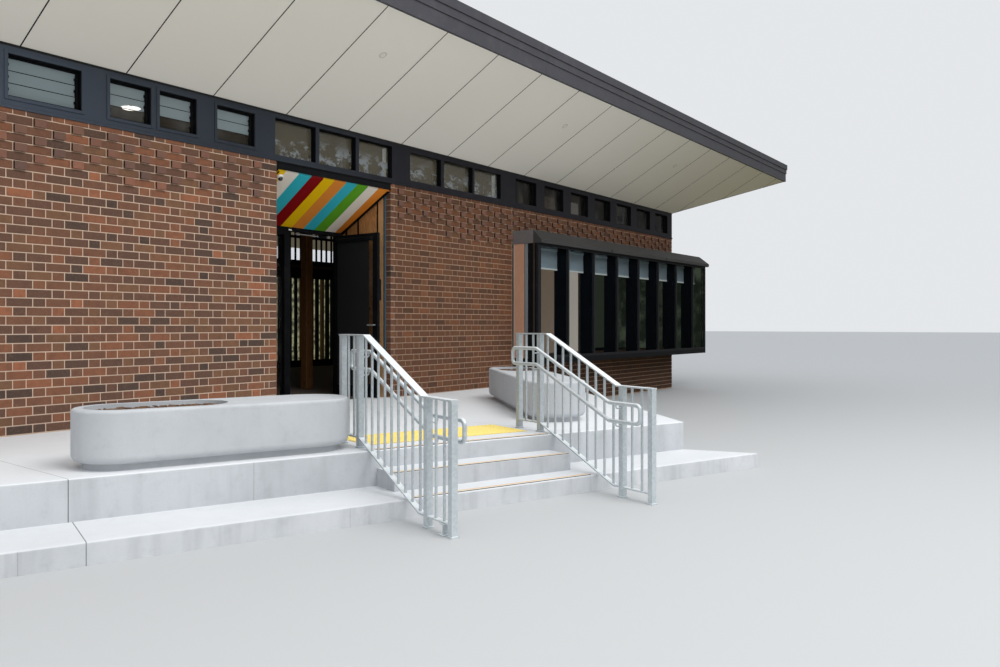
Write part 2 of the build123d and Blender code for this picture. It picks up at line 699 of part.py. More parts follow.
# Terrace and steps
edge_turn = math.radians(TERRACE_EDGE_TURN)
terrace_corner = SITE.to_local_coords(STAIR.from_local_coords(Vector(TERRACE_RIGHT, 0, 0)))
step_corner = SITE.to_local_coords(
    STAIR.from_local_coords(Vector(LOWER_STEP_RIGHT, -stair_depth, 0))
)
edge_start = STAIR_Y + STAIR_X * math.tan(turn)
step_start = edge_start - stair_depth / math.cos(turn)

with BuildPart() as terrace:
    with BuildSketch(SITE):
        with BuildLine():
            Polyline(
                (0, 0),
                (0, edge_start),
                (terrace_corner.X, terrace_corner.Y),
                (terrace_corner.X - terrace_corner.Y / math.tan(edge_turn), 0),
                close=True,
            )
        make_face()
    extrude(amount=FLOOR_LEVEL)
    rim = terrace.faces().sort_by(Axis.Z)[-1].edges().sort_by(Axis.Y)[:-1]
    fillet(rim.filter_by(Axis.Y, reverse=True), CONCRETE_EDGE)
keep(terrace, "terrace")

with BuildPart() as lower_step:
    with BuildSketch(SITE):
        with BuildLine():
            Polyline(
                (0, edge_start),
                (0, step_start),
                (step_corner.X, step_corner.Y),
                (terrace_corner.X, terrace_corner.Y),
                close=True,
            )
        make_face()
    extrude(amount=riser)
    rim = lower_step.faces().sort_by(Axis.Z)[-1].edges().sort_by(Axis.Y)[:2]
    fillet(rim, CONCRETE_EDGE)
keep(lower_step, "lower_step")

with BuildPart() as middle_step:
    block((-FLIGHT_WIDTH / 2, FLIGHT_WIDTH / 2), (-GOING, 0), (riser, 2 * riser), STAIR)
    rim = middle_step.faces().sort_by(Axis.Z)[-1].edges().sort_by(Axis.Y)[0]
    fillet(rim, CONCRETE_EDGE)
keep(middle_step, "middle_step")

with BuildPart() as nosing_strips:
    for k in range(RISERS):
        front = NOSING_BACK - k * GOING
        level = FLOOR_LEVEL - k * riser
        block((-NOSING_LENGTH / 2, NOSING_LENGTH / 2), (front, front + NOSING_WIDTH),
              (level, level + NOSING_THICKNESS), STAIR)
keep(nosing_strips, "nosing_strips")

with BuildPart() as tactile_pad:
    block((-PAD_WIDTH / 2, PAD_WIDTH / 2), (PAD_BACK, PAD_BACK + PAD_DEPTH),
          (FLOOR_LEVEL, FLOOR_LEVEL + PAD_THICKNESS), STAIR)
keep(tactile_pad, "tactile_pad")


# Balustrades and their looped handrails
def between(station, bends, upper, lower):
    """Height of a rail that is level above the first bend, sloping, and level below the last."""
    share = (bends[0] - station) / (bends[0] - bends[1])
    return upper + (lower - upper) * min(max(share, 0), 1)


stations = [RAIL_START - k * RAIL_PITCH for k in range(RAIL_STATIONS)]
rail_ends = (stations[0] + POST_SIZE / 2, stations[-1] - POST_SIZE / 2)


def rail_section(height, bends, ends):
    """Points along the top of a rail at a height above the terrace and above the ground."""
    return [(ends[0], FLOOR_LEVEL + height), (bends[0], FLOOR_LEVEL + height),
            (bends[1], height), (ends[1], height)]


def rail_plane(hand):
    """Upright plane along one balustrade: its x runs towards the building, its y up."""
    return Plane(
        origin=STAIR.from_local_coords(Vector(hand * RAIL_SPACING / 2, 0, 0)),
        x_dir=STAIR.y_dir, z_dir=STAIR.x_dir,
    )


def upright(hand, station, level, size, height):
    """Add a square post, plate or baluster of a balustrade."""
    with BuildSketch(STAIR.offset(level)) as foot:
        with Locations((hand * RAIL_SPACING / 2, station)):
            Rectangle(size, size)
    extrude(foot.sketch, amount=height)


with BuildPart() as balustrades:
    for hand in (-1, 1):
        for height, bends, width in ((RAIL_HEIGHT, RAIL_TOP_BENDS, RAIL_WIDTH),
                                     (BOTTOM_RAIL_HEIGHT, RAIL_FOOT_BENDS, BOTTOM_RAIL_WIDTH)):
            upper_side = rail_section(height, bends, rail_ends)
            lower_side = [(t, z - RAIL_THICKNESS) for t, z in reversed(upper_side)]
            with BuildSketch(rail_plane(hand)):
                with BuildLine():
                    Polyline(*upper_side, *lower_side, close=True)
                make_face()
            extrude(amount=width / 2, both=True)
        for k, station in enumerate(stations):
            top = between(station, RAIL_TOP_BENDS, FLOOR_LEVEL + RAIL_HEIGHT, RAIL_HEIGHT)
            foot = between(station, RAIL_FOOT_BENDS, FLOOR_LEVEL + BOTTOM_RAIL_HEIGHT,
                           BOTTOM_RAIL_HEIGHT)
            ground = FLOOR_LEVEL if station > 0 else 0
            if k in POST_STATIONS:
                upright(hand, station, ground, FOOT_PLATE, FOOT_THICKNESS)
                upright(hand, station, ground, POST_SIZE, top - ground - RAIL_THICKNESS / 2)
            else:
                upright(hand, station, foot - RAIL_THICKNESS / 2, BALUSTER_SIZE, top - foot)
keep(balustrades, "balustrades")

with BuildPart() as handrails:
    for hand in (-1, 1):
        plane = rail_plane(hand).offset(-hand * HANDRAIL_OUT)
        ends = (HANDRAIL_UPPER_END, HANDRAIL_LOWER_ENDS[hand])
        upper_run = rail_section(HANDRAIL_UPPER, HANDRAIL_BENDS, ends)
        lower_run = rail_section(HANDRAIL_LOWER, HANDRAIL_BENDS, ends)
        with BuildLine(plane) as loop:
            FilletPolyline(*upper_run, *reversed(lower_run), radius=HANDRAIL_LOOP, close=True)
        with BuildSketch(Plane(origin=loop.line @ 0, z_dir=loop.line % 0)) as tube:
            Circle(HANDRAIL_SIZE / 2)
        sweep(tube.sketch, path=loop.line)
        for k in BRACKET_STATIONS:
            for height in (HANDRAIL_UPPER, HANDRAIL_LOWER):
                level = between(stations[k], HANDRAIL_BENDS, FLOOR_LEVEL + height, height)
                across = Plane(origin=plane.from_local_coords(Vector(stations[k], level, 0)),
                               x_dir=plane.z_dir * hand, z_dir=plane.x_dir * -hand)
                with BuildLine(across) as hook:
                    FilletPolyline((0, 0), (0, -BRACKET_DROP),
                                   (HANDRAIL_OUT - POST_SIZE / 2, -BRACKET_DROP),
                                   radius=BRACKET_BEND)
                with BuildSketch(Plane(origin=hook.line @ 0, z_dir=hook.line % 0)) as bar:
                    Circle(BRACKET_SIZE / 2)
                sweep(bar.sketch, path=hook.line)
keep(handrails, "handrails")


# Bench planters
def planter_plane(origin, x_dir):
    """Level plane on the terrace with its x along the planter."""
    return Plane(origin=origin, x_dir=x_dir, z_dir=UP).offset(FLOOR_LEVEL)


planters = [
    ("left", planter_plane(STAIR.from_local_coords(Vector(*LEFT_PLANTER_PLACE, 0)), STAIR.x_dir),
     LEFT_PLANTER_LENGTH, -1),
    ("right", planter_plane(place(*RIGHT_PLANTER_PLACE),
                            (math.cos(edge_turn), math.sin(edge_turn), 0)),
     RIGHT_PLANTER_LENGTH, 1),
]
pocket_width = PLANTER_WIDTH - 2 * PLANTER_WALL
for side, plane, length, hand in planters:
    pocket_place = hand * (length / 2 - PLANTER_WALL - POCKET_LENGTH / 2)
    with BuildPart() as planter:
        with BuildSketch(plane.offset(PLANTER_PLINTH)):
            SlotOverall(length, PLANTER_WIDTH)
        extrude(amount=PLANTER_HEIGHT - PLANTER_PLINTH)
        rims = planter.edges().filter_by(Plane.XY).group_by(Axis.Z)
        fillet(rims[-1], PLANTER_EDGE)
        rims = planter.edges().filter_by(Plane.XY).group_by(Axis.Z)
        fillet(rims[0], PLANTER_FOOT_EDGE)
        with BuildSketch(plane):
            SlotOverall(length - 2 * PLANTER_PLINTH_INSET, PLANTER_WIDTH - 2 * PLANTER_PLINTH_INSET)
        extrude(amount=PLANTER_HEIGHT / 2)
        with BuildSketch(plane.offset(PLANTER_HEIGHT)):
            with Locations((pocket_place, 0)):
                SlotOverall(POCKET_LENGTH, pocket_width)
        extrude(amount=-POCKET_DEPTH, mode=Mode.SUBTRACT)
    keep(planter, f"{side}_planter")

with BuildPart() as planter_soil:
    for side, plane, length, hand in planters:
        with BuildSketch(plane.offset(PLANTER_HEIGHT - POCKET_DEPTH)):
            with Locations((hand * (length / 2 - PLANTER_WALL - POCKET_LENGTH / 2), 0)):
                SlotOverall(POCKET_LENGTH, pocket_width)
        extrude(amount=POCKET_DEPTH - SOIL_BELOW_RIM)
keep(planter_soil, "planter_soil")
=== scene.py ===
# %% [markdown]
# # A brick school building with an entrance terrace
# The imported CAD model gives the frame of this lesson: every wall, step and rail already stands in
# its place, in metres. We load it first; part_box reads the box of any of its parts. After that
# each cell dresses one part of the building.

# %% Load the frame
import json
import math
import random

import bmesh
import bpy
from mathutils import Matrix, Vector

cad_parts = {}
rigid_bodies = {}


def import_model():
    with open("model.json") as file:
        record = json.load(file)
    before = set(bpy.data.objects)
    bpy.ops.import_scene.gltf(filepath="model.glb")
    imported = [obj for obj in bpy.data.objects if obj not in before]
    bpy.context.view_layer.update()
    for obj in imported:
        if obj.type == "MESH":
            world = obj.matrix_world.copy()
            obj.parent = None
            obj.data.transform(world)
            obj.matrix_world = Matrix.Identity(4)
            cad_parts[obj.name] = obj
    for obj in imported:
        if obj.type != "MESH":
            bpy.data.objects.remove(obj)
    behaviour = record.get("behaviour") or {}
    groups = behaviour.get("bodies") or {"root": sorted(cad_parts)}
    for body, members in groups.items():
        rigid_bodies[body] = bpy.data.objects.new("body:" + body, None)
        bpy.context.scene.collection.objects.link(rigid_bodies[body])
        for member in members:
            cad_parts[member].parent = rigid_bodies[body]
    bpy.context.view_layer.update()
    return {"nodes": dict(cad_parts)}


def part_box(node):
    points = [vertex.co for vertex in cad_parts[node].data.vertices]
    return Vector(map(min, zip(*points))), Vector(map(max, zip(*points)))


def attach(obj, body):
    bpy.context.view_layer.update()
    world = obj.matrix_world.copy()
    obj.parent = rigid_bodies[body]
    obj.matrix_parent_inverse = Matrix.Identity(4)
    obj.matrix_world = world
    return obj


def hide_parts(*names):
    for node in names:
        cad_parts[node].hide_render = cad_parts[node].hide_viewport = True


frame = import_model()
print("frame:", len(frame["nodes"]), "nodes")

# %% [markdown]
# A builder measures from the corner of the brickwork. The next helper does the same: `at` takes
# metres from the left front corner, along the front wall, into the building and up.

# %% Measure from the brick corner
corner = Vector((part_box("left_wall")[0].x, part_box("front_wall_left")[0].y, 0))
WALL_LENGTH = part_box("right_wall")[1].x - corner.x
WALL_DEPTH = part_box("left_wall")[1].y - corner.y
GROUND_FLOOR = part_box("floor_slab")[1].z
BRICK_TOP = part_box("front_wall_left")[1].z
BAND_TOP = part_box("clerestory_front")[1].z


def at(x, y, z=0.0):
    """A point given from the left front corner of the brickwork."""
    return corner + Vector((x, y, z))


print("brickwork:", round(WALL_LENGTH, 3), "by", round(WALL_DEPTH, 3))

# %% [markdown]
# The photograph was taken from eye height, left of the steps and looking along them to the right.
# A camera with a level axis keeps the walls upright, and its small shift lifts the frame just as
# far as the photograph needs.

# %% Set up the camera
EYE_HEIGHT = 1.48
LENS_MM = 29.88
LIFT = -0.0085
camera = bpy.data.objects.new("camera", bpy.data.cameras.new("camera"))
bpy.context.scene.collection.objects.link(camera)
camera.location = (-9.96, -10.7074, EYE_HEIGHT)
camera.rotation_euler = Vector((0.8076, 0.5897, 0)).to_track_quat("-Z", "Y").to_euler()
camera.data.lens = LENS_MM
camera.data.shift_y = LIFT
camera.data.clip_end = 500
bpy.context.scene.camera = camera
print("camera looks along", round(math.degrees(camera.rotation_euler.z), 1), "degrees")

# %% [markdown]
# Materials are sums and products of patterns. Blender writes such a formula as a web of Math
# nodes, which is slow to read, so the small class below wraps the output of a node and lets us
# write the formula with ordinary operators.

# %% Write shader formulas as sums


def feed(tree, entry, value):
    """Give a socket a plain value or a link."""
    if isinstance(value, Flow):
        tree.links.new(value.output, entry)
    elif isinstance(value, tuple) and len(value) == 3 and entry.type == "RGBA":
        entry.default_value = (*value, 1)
    else:
        entry.default_value = value


class Flow:
    """One output of a node. Operators on it add Math nodes to its tree."""

    def __init__(self, tree, output):
        self.tree = tree
        self.output = output

    def calc(self, operation, *values):
        """Add one Math node."""
        node = self.tree.nodes.new("ShaderNodeMath")
        node.operation = operation
        for entry, value in zip(node.inputs, values):
            feed(self.tree, entry, value)
        return Flow(self.tree, node.outputs[0])

    def __add__(self, other):
        return self.calc("ADD", self, other)

    __radd__ = __add__

    def __sub__(self, other):
        return self.calc("SUBTRACT", self, other)

    def __rsub__(self, other):
        return self.calc("SUBTRACT", other, self)

    def __mul__(self, other):
        return self.calc("MULTIPLY", self, other)

    __rmul__ = __mul__

    def __truediv__(self, other):
        return self.calc("DIVIDE", self, other)

    def __rtruediv__(self, other):
        return self.calc("DIVIDE", other, self)

    def __lt__(self, other):
        return self.calc("LESS_THAN", self, other)

    def __gt__(self, other):
        return self.calc("GREATER_THAN", self, other)

    def size(self):
        """The value without its sign."""
        return self.calc("ABSOLUTE", self)

    def wrap(self, length):
        """Count from 0 again after each length."""
        return self.calc("FLOORED_MODULO", self, length)


# %% [markdown]
# Every other node comes from one method, `node`: it takes the type of the node, the output that we
# want, its settings, and the values or links of its sockets. Both the sky and the materials are
# such webs of nodes.

# %% Add any other node


class Web:
    """A tree of nodes that is being wired."""

    def __init__(self, tree):
        self.tree = tree

    def node(self, kind, output, settings=None, sockets=None):
        """Add one node and give back one of its outputs."""
        made = self.tree.nodes.new(kind)
        for key, value in (settings or {}).items():
            if key == "stops":
                band = made.color_ramp
                while len(band.elements) < len(value):
                    band.elements.new(0.5)
                for stop, (position, colour) in zip(band.elements, value):
                    stop.position = position
                    stop.color = (*colour, 1)
            elif key == "interpolation":
                made.color_ramp.interpolation = value
            else:
                setattr(made, key, value)
        for key, value in (sockets or {}).items():
            feed(self.tree, made.inputs[key], value)
        return Flow(self.tree, made.outputs[output])


# %% [markdown]
# `Finish` is a material while it is being mixed. Its `noise` and `cells` are the two patterns that
# weather everything outdoors, and `paint` turns the 0 to 255 numbers of a colour chart into the
# light values that a shader works with.

# %% Mix materials
RIGHTWARDS, INWARDS = Vector((1, 0, 0)), Vector((0, 1, 0))


def paint(red, green, blue, share=1.0):
    """Light values of a colour given as on a screen chart; share makes it darker or paler."""
    return tuple(
        (c / 255 / 12.92) if c < 11 else ((c / 255 + 0.055) / 1.055) ** 2.4
        for c in (red * share, green * share, blue * share)
    )


class Finish(Web):
    """A material being mixed on one shader."""

    def __init__(self, name, **values):
        self.material = bpy.data.materials.new(name)
        self.material.use_nodes = True
        super().__init__(self.material.node_tree)
        self.shader = self.tree.nodes["Principled BSDF"]
        self.place = self.node("ShaderNodeTexCoord", "Object")
        self.set(**values)

    def set(self, **values):
        """Give sockets of the shader their values or links; Base_Color means Base Color."""
        for key, value in values.items():
            feed(self.tree, self.shader.inputs[key.replace("_", " ")], value)

    def axis(self, letter):
        """X, Y or Z of a point on the piece."""
        return self.node("ShaderNodeSeparateXYZ", letter, sockets={0: self.place})

    def facing(self, letter):
        """How far the surface faces along an axis, from -1 to 1."""
        normal = self.node("ShaderNodeTexCoord", "Normal")
        return self.node("ShaderNodeSeparateXYZ", letter, sockets={0: normal})

    def along(self, direction, start=corner):
        """Distance from a point, or from the brick corner, along a direction."""
        away = self.node("ShaderNodeVectorMath", "Vector", {"operation": "SUBTRACT"},
                         {0: self.place, 1: tuple(start)})
        return self.node("ShaderNodeVectorMath", "Value", {"operation": "DOT_PRODUCT"},
                         {0: away, 1: tuple(direction)})

    def stretched(self, stretch):
        """The place on the piece with its three axes scaled."""
        return self.node("ShaderNodeVectorMath", "Vector", {"operation": "MULTIPLY"},
                         {0: self.place, 1: stretch})

    def noise(self, scale, detail=3.0, roughness=0.55, stretch=None):
        """Clouds between 0 and 1; a larger scale makes them smaller."""
        where = self.stretched(stretch) if stretch else self.place
        return self.node("ShaderNodeTexNoise", 0, None,
                         {"Vector": where, "Scale": scale, "Detail": detail,
                          "Roughness": roughness})

    def cells(self, scale, output="Distance"):
        """Distance to the nearest scattered point, or a random colour for each point."""
        return self.node("ShaderNodeTexVoronoi", output, None,
                         {"Vector": self.place, "Scale": scale})

    def fade(self, value, low, high):
        """0 below low, 1 above high and a soft step between them."""
        return self.node("ShaderNodeMapRange", "Result", {"interpolation_type": "SMOOTHSTEP"},
                         {"Value": value, "From Min": low, "From Max": high})

    def tint(self, share, first, second):
        """First colour where the share is 0, second where it is 1."""
        return self.node("ShaderNodeMix", 2, {"data_type": "RGBA"}, {0: share, 6: first, 7: second})

    def ramp(self, value, stops, interpolation="LINEAR"):
        """Turn a value into a colour by a row of (position, colour) stops."""
        return self.node("ShaderNodeValToRGB", "Color",
                         {"stops": stops, "interpolation": interpolation}, {0: value})

    def dent(self, height, depth, strength=1.0):
        """Let a height roughen the surface by up to a depth in metres."""
        self.set(Normal=self.node("ShaderNodeBump", "Normal", None,
                                  {"Height": height, "Distance": depth, "Strength": strength}))


def two_tone(name, pattern, first, second, **values):
    """A finish that drifts between two colours; pattern is the scale of the noise and the rest."""
    finish = Finish(name, **values)
    finish.set(Base_Color=finish.tint(finish.noise(*pattern), paint(*first), paint(*second)))
    return finish


print("colour test:", [round(c, 3) for c in paint(128, 128, 128)])

# %% [markdown]
# An overcast sky is bright overhead and darker near the horizon. The world gives this level light:
# its strength follows the height of each direction. What the camera and mirror rays see behind the
# building is a pale backdrop; Light Path keeps the two apart.

# %% Light the scene from the sky
world = bpy.data.worlds.new("overcast")
world.use_nodes = True
bpy.context.scene.world = world
sky = Web(world.node_tree)
LOW_SKY, HIGH_SKY = 0.36, 1.15
RIGHT_SIDE_BRIGHTER = 0.12
way = sky.node("ShaderNodeTexCoord", "Generated")
height = sky.node("ShaderNodeSeparateXYZ", "Z", sockets={0: way})
sideways = sky.node("ShaderNodeSeparateXYZ", "X", sockets={0: way})
glow_of_sky = sky.node("ShaderNodeMapRange", "Result", {"interpolation_type": "SMOOTHSTEP"}, {
    "Value": height, "From Min": 0.02, "From Max": 0.6, "To Min": LOW_SKY, "To Max": HIGH_SKY})
daylight = sky.node("ShaderNodeBackground", "Background", None, {
    "Color": (0.92, 0.96, 1.0), "Strength": glow_of_sky * (1 + sideways * RIGHT_SIDE_BRIGHTER)})
backdrop = sky.node("ShaderNodeBackground", "Background", None,
                    {"Color": (0.78, 0.80, 0.82), "Strength": 1.0})
seen = sky.node("ShaderNodeLightPath", "Is Camera Ray")
for ray in ("Is Glossy Ray", "Is Transmission Ray"):
    seen = seen.calc("MAXIMUM", seen, sky.node("ShaderNodeLightPath", ray))
either = sky.node("ShaderNodeMixShader", "Shader", None, {0: seen, 1: daylight, 2: backdrop})
sky.tree.links.new(either.output, sky.tree.nodes["World Output"].inputs[0])
bpy.context.scene.view_settings.view_transform = "Standard"
print("sky strength near the ground and overhead:", LOW_SKY, HIGH_SKY)

# %% [markdown]
# A single large soft lamp stands for the brightest part of the sky, high in front of the entrance.
# Its light fades slowly towards both ends of the front, and it lays the faint shade under rails,
# ledges and the bricks that stand out.

# %% Add the bright part of the sky
DISK_WIDTH = 9
DISK_POWER = 1220
bright_sky = bpy.data.objects.new("bright_sky", bpy.data.lights.new("bright_sky", "AREA"))
bright_sky.data.shape = "DISK"
bright_sky.data.size = DISK_WIDTH
bright_sky.data.energy = DISK_POWER
bright_sky.data.color = (1.0, 0.985, 0.955)
bright_sky.location = (-5.5, -14.5, 12.2)
aim = Vector((-3.5, -2, 1)) - bright_sky.location
bright_sky.rotation_euler = aim.to_track_quat("-Z", "Y").to_euler()
bpy.context.scene.collection.objects.link(bright_sky)
print("lamp is", round(aim.length, 1), "m from the entrance")

# %% [markdown]
# New pieces are small bmesh models. `block` adds a box between two corners with its edges trimmed,
# `rod` a round bar between two points, and `finish_piece` recalculates the normals, gives the mesh
# its finishes, and lets it ride on its body.

# %% Make pieces


def between(low, high):
    """The matrix that makes a unit cube fill the box between two corners."""
    low, high = Vector(low), Vector(high)
    return Matrix.Translation((low + high) / 2) @ Matrix.Diagonal((*(high - low), 1))


def colour_faces(made, finish):
    """Give one finish to all faces of a new shape."""
    faces = {f for v in made["verts"] for f in v.link_faces}
    for face in faces:
        face.material_index = finish
    return faces


def block(mesh, low, high, trim=0.0, finish=0, turn=None):
    """Add a box between two corners; turn is a matrix that is applied to it."""
    made = bmesh.ops.create_cube(mesh, size=1, matrix=(turn or Matrix()) @ between(low, high))
    faces = colour_faces(made, finish)
    if trim:
        edges = list({e for v in made["verts"] for e in v.link_edges})
        bmesh.ops.bevel(mesh, geom=edges, offset=trim, offset_type="OFFSET",
                        affect="EDGES", segments=1, profile=0.5, material=-1)
    return [face for face in faces if face.is_valid]


def rod(mesh, start, end, radius, sides=12, finish=0, end_radius=None):
    """Add a round bar, or a cone where its end radius differs."""
    start, end = Vector(start), Vector(end)
    run = end - start
    upright = run.to_track_quat("Z", "Y").to_matrix().to_4x4()
    made = bmesh.ops.create_cone(mesh, cap_ends=True, segments=sides, radius1=radius,
                                 radius2=radius if end_radius is None else end_radius,
                                 depth=run.length,
                                 matrix=Matrix.Translation((start + end) / 2) @ upright)
    colour_faces(made, finish)


def finish_piece(name, mesh, finishes, body="building", replaces=(), round_angle=None):
    """Turn a bmesh into a piece that rides on a body."""
    bmesh.ops.recalc_face_normals(mesh, faces=mesh.faces)
    data = bpy.data.meshes.new(name)
    mesh.to_mesh(data)
    mesh.free()
    piece = bpy.data.objects.new(name, data)
    bpy.context.scene.collection.objects.link(piece)
    for finish in finishes:
        data.materials.append(finish.material)
    if round_angle:
        data.shade_smooth()
        data.set_sharp_from_angle(angle=math.radians(round_angle))
    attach(piece, body)
    if replaces:
        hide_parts(*replaces)
    print(name, len(data.polygons), "faces")


def dress(finish, *nodes):
    """Give CAD nodes a finish."""
    for node in nodes:
        for entry in frame["nodes"][node].material_slots:
            entry.material = finish.material
    print(finish.material.name, "on", len(nodes), "nodes")


# %% [markdown]
# ## Brickwork
# The walls are laid in Flemish bond: in every course a header, the short end of a brick, follows a
# stretcher. Four burnt shades are mixed at random, so each brick carries its own number in a
# vertex attribute and the shader turns that number into a clay colour. Fine noise adds sand and
# scorch marks, and the bump gives the rough face of pressed clay. The flanks of a brick are painted
# almost black as painted shade, which shows where headers stand out of the wall, and their ends are
# a little greyer. Faces that look up get a painted highlight. The walls past the entrance are
# painted browner and darker as painted shade, and darker still under the bay, the painted shade of
# the bay.

# %% Mix the clay and the mortar
SHADED_FROM, BAY_SHADE_FROM = 6.9, 9.9
BAY_SHADE_TOP = (0.85, 0.95)


def beyond(finish, x, soft):
    """1 on the front wall to the right of x, and 0 elsewhere."""
    in_front = 1 - finish.fade(finish.along(INWARDS), 0.3, 0.6)
    return finish.fade(finish.along(RIGHTWARDS), x, x + soft) * in_front


brick = Finish("brick_clay", Roughness=0.85, Specular_IOR_Level=0.3)
tone = brick.node("ShaderNodeAttribute", "Fac", {"attribute_name": "brick_tone"})
mottle = brick.noise(14, 4, 0.6)
scorch = brick.noise(6, 3)
clay = brick.ramp(tone, [
    (0.00, paint(70, 57, 51)), (0.07, paint(80, 64, 56)), (0.12, paint(94, 69, 58)),
    (0.36, paint(104, 74, 60)), (0.40, paint(112, 78, 61)), (0.60, paint(120, 81, 62)),
    (0.64, paint(114, 82, 61)), (0.76, paint(122, 88, 65)), (0.80, paint(128, 83, 61)),
    (0.95, paint(136, 89, 65)), (1.00, paint(156, 98, 70)),
])
clay = brick.tint(brick.fade(mottle, 0.38, 0.72) * 0.35, clay, paint(86, 62, 52))
clay = brick.tint(brick.fade(brick.noise(70, 3), 0.5, 0.75) * 0.2, clay, paint(160, 122, 94))
clay = brick.tint(brick.fade(scorch, 0.55, 0.75) * 0.2, clay, paint(72, 57, 52))
# Past the entrance the front wall is painted browner and darker: painted shade.
clay = brick.tint(beyond(brick, SHADED_FROM, 0.2) * 0.6, clay, paint(86, 53, 30))
# Faces that look up are painted paler and greyer: a painted highlight from the sky.
clay = brick.tint(brick.fade(brick.facing("Z"), 0.3, 0.9) * 0.4, clay, paint(150, 134, 128))
# Under the bay sill the bricks are painted darker still: the painted shade of the bay.
bay_shade = beyond(brick, BAY_SHADE_FROM, 0.1) * (1 - brick.fade(brick.axis("Z"), *BAY_SHADE_TOP))
clay = brick.tint(bay_shade * 0.6, clay, paint(50, 36, 28))
proud = brick.fade(brick.along(-INWARDS), 0.015, 0.020)
clay = brick.tint(proud * 0.45, clay, paint(122, 92, 84))
# The flanks of the bricks are painted almost black: painted shade.
front_face = brick.fade(brick.along(INWARDS), -0.007, -0.006)
flank = brick.fade(brick.facing("X").size(), 0.8, 0.95) * (1 - front_face)
brick.set(Base_Color=brick.tint(flank * 0.8, clay, paint(34, 26, 23)))
brick.dent(brick.noise(110, 5, 0.7) + brick.noise(28, 3) * 0.8, 0.0022, 0.7)

mortar = Finish("mortar", Roughness=0.95, Specular_IOR_Level=0.2)
sand = mortar.tint(mortar.noise(6, 4), paint(192, 164, 144), paint(222, 198, 176))
# Past the entrance the mortar is painted darker too: painted shade.
mortar.set(Base_Color=mortar.tint(beyond(mortar, SHADED_FROM, 0.2) * 0.6, sand,
                                  paint(138, 104, 76)))
mortar.dent(mortar.noise(260, 4, 0.7), 0.0016, 0.8)

plaster = two_tone("painted_plaster", (2.5,), (178, 171, 160), (190, 184, 173), Roughness=0.7)
plaster.dent(plaster.noise(90, 3), 0.0006, 0.4)
print("clay shades ready")

# %% [markdown]
# A course is a list of bricks between two ends. We start from where the photograph shows the
# headers, go out in steps of 360 mm, and cut the outermost bricks to the wall. A piece shorter
# than 45 mm joins its neighbour, as a bricklayer would do. Odd and even courses are shifted by half
# a step.

# %% Lay out one course
STEP = 0.36
JOINT = 0.010
HEADER = 0.110
COURSE = 0.086
BRICK_HEIGHT = 0.076
FIRST_BED = 0.022
SHORTEST = 0.045
LEAF = HEADER


def course_plan(start, end, header_middle, closer=False):
    """Bricks of one course as (left, right, is_header)."""
    first = math.floor((start - header_middle) / STEP) - 1
    last = math.ceil((end - header_middle) / STEP) + 1
    plan = []
    for k in range(first, last):
        middle = header_middle + k * STEP
        head_end = middle + HEADER / 2
        plan.append([middle - HEADER / 2, head_end, True])
        plan.append([head_end + JOINT, middle + STEP - HEADER / 2 - JOINT, False])
    plan = [[max(a, start), min(b, end), head] for a, b, head in plan if b > start and a < end]
    if plan and plan[0][1] - plan[0][0] < SHORTEST and len(plan) > 1:
        plan[1][0] = plan[0][0]
        plan.pop(0)
    if plan and plan[-1][1] - plan[-1][0] < SHORTEST and len(plan) > 1:
        plan[-2][1] = plan[-1][1]
        plan.pop()
    if plan:
        plan[0][0], plan[-1][1] = start, end
    if closer and len(plan) > 2:
        plan[-2] = [plan[-2][0], end - HEADER - JOINT, False]
        plan[-1] = [end - HEADER, end, True]
    return plan


print(len(course_plan(0, 5, 4.629)), "bricks in a course of five metres")

# %% [markdown]
# Each side of the building is laid in its own flat frame: x runs along the wall seen from outside,
# y goes into it and z goes up. A brick is a cube without a back whose front edges are bevelled.
# Its face sits a hair in front of or behind its neighbour's, which the light picks up. Bricks that
# stand out of the wall have a rolled upper edge. The core behind is mortar outside and painted
# plaster inside, 6 mm behind the faces of the bricks.

# %% Lay bricks
WALL = 0.27
MORTAR_BACK = 0.006
BRICK_SKIN = 0.016
THINNEST = 0.012
ROLL, ARRIS = 0.012, 0.0035
COURSES = 41
HAIR = 0.0012


def side_frame(x, y, turn):
    """The flat frame of one side: where its left corner stands and how it is turned."""
    return Matrix.Translation(at(x, y)) @ Matrix.Rotation(math.radians(turn), 4, "Z")


SIDES = {
    "front": side_frame(0, 0, 0),
    "right": side_frame(WALL_LENGTH, 0, 90),
    "rear": side_frame(WALL_LENGTH, WALL_DEPTH, 180),
    "left": side_frame(0, WALL_DEPTH, -90),
}


def lay_brick(mesh, layer, left, right, bottom, top, out, depth, chance):
    """Add one brick whose face stands out of the wall by `out`."""
    made = bmesh.ops.create_cube(
        mesh, size=1, matrix=between((left, -out, bottom), (right, depth, top)))
    tone_number = chance.random()
    for vert in made["verts"]:
        vert[layer] = tone_number
    back = [f for f in {f for v in made["verts"] for f in v.link_faces}
            if all(v.co.y > depth - 1e-6 for v in f.verts)]
    bmesh.ops.delete(mesh, geom=back, context="FACES_ONLY")
    front = [e for e in {e for v in made["verts"] for e in v.link_edges}
             if all(v.co.y < -out + 1e-6 for v in e.verts)]
    rolled = out > HAIR
    if rolled:
        front = [e for e in front if all(v.co.z > top - 1e-6 for v in e.verts)]
    bmesh.ops.bevel(mesh, geom=front, offset=ROLL if rolled else ARRIS, offset_type="OFFSET",
                    affect="EDGES", segments=2 if rolled else 1, profile=0.5, material=-1)


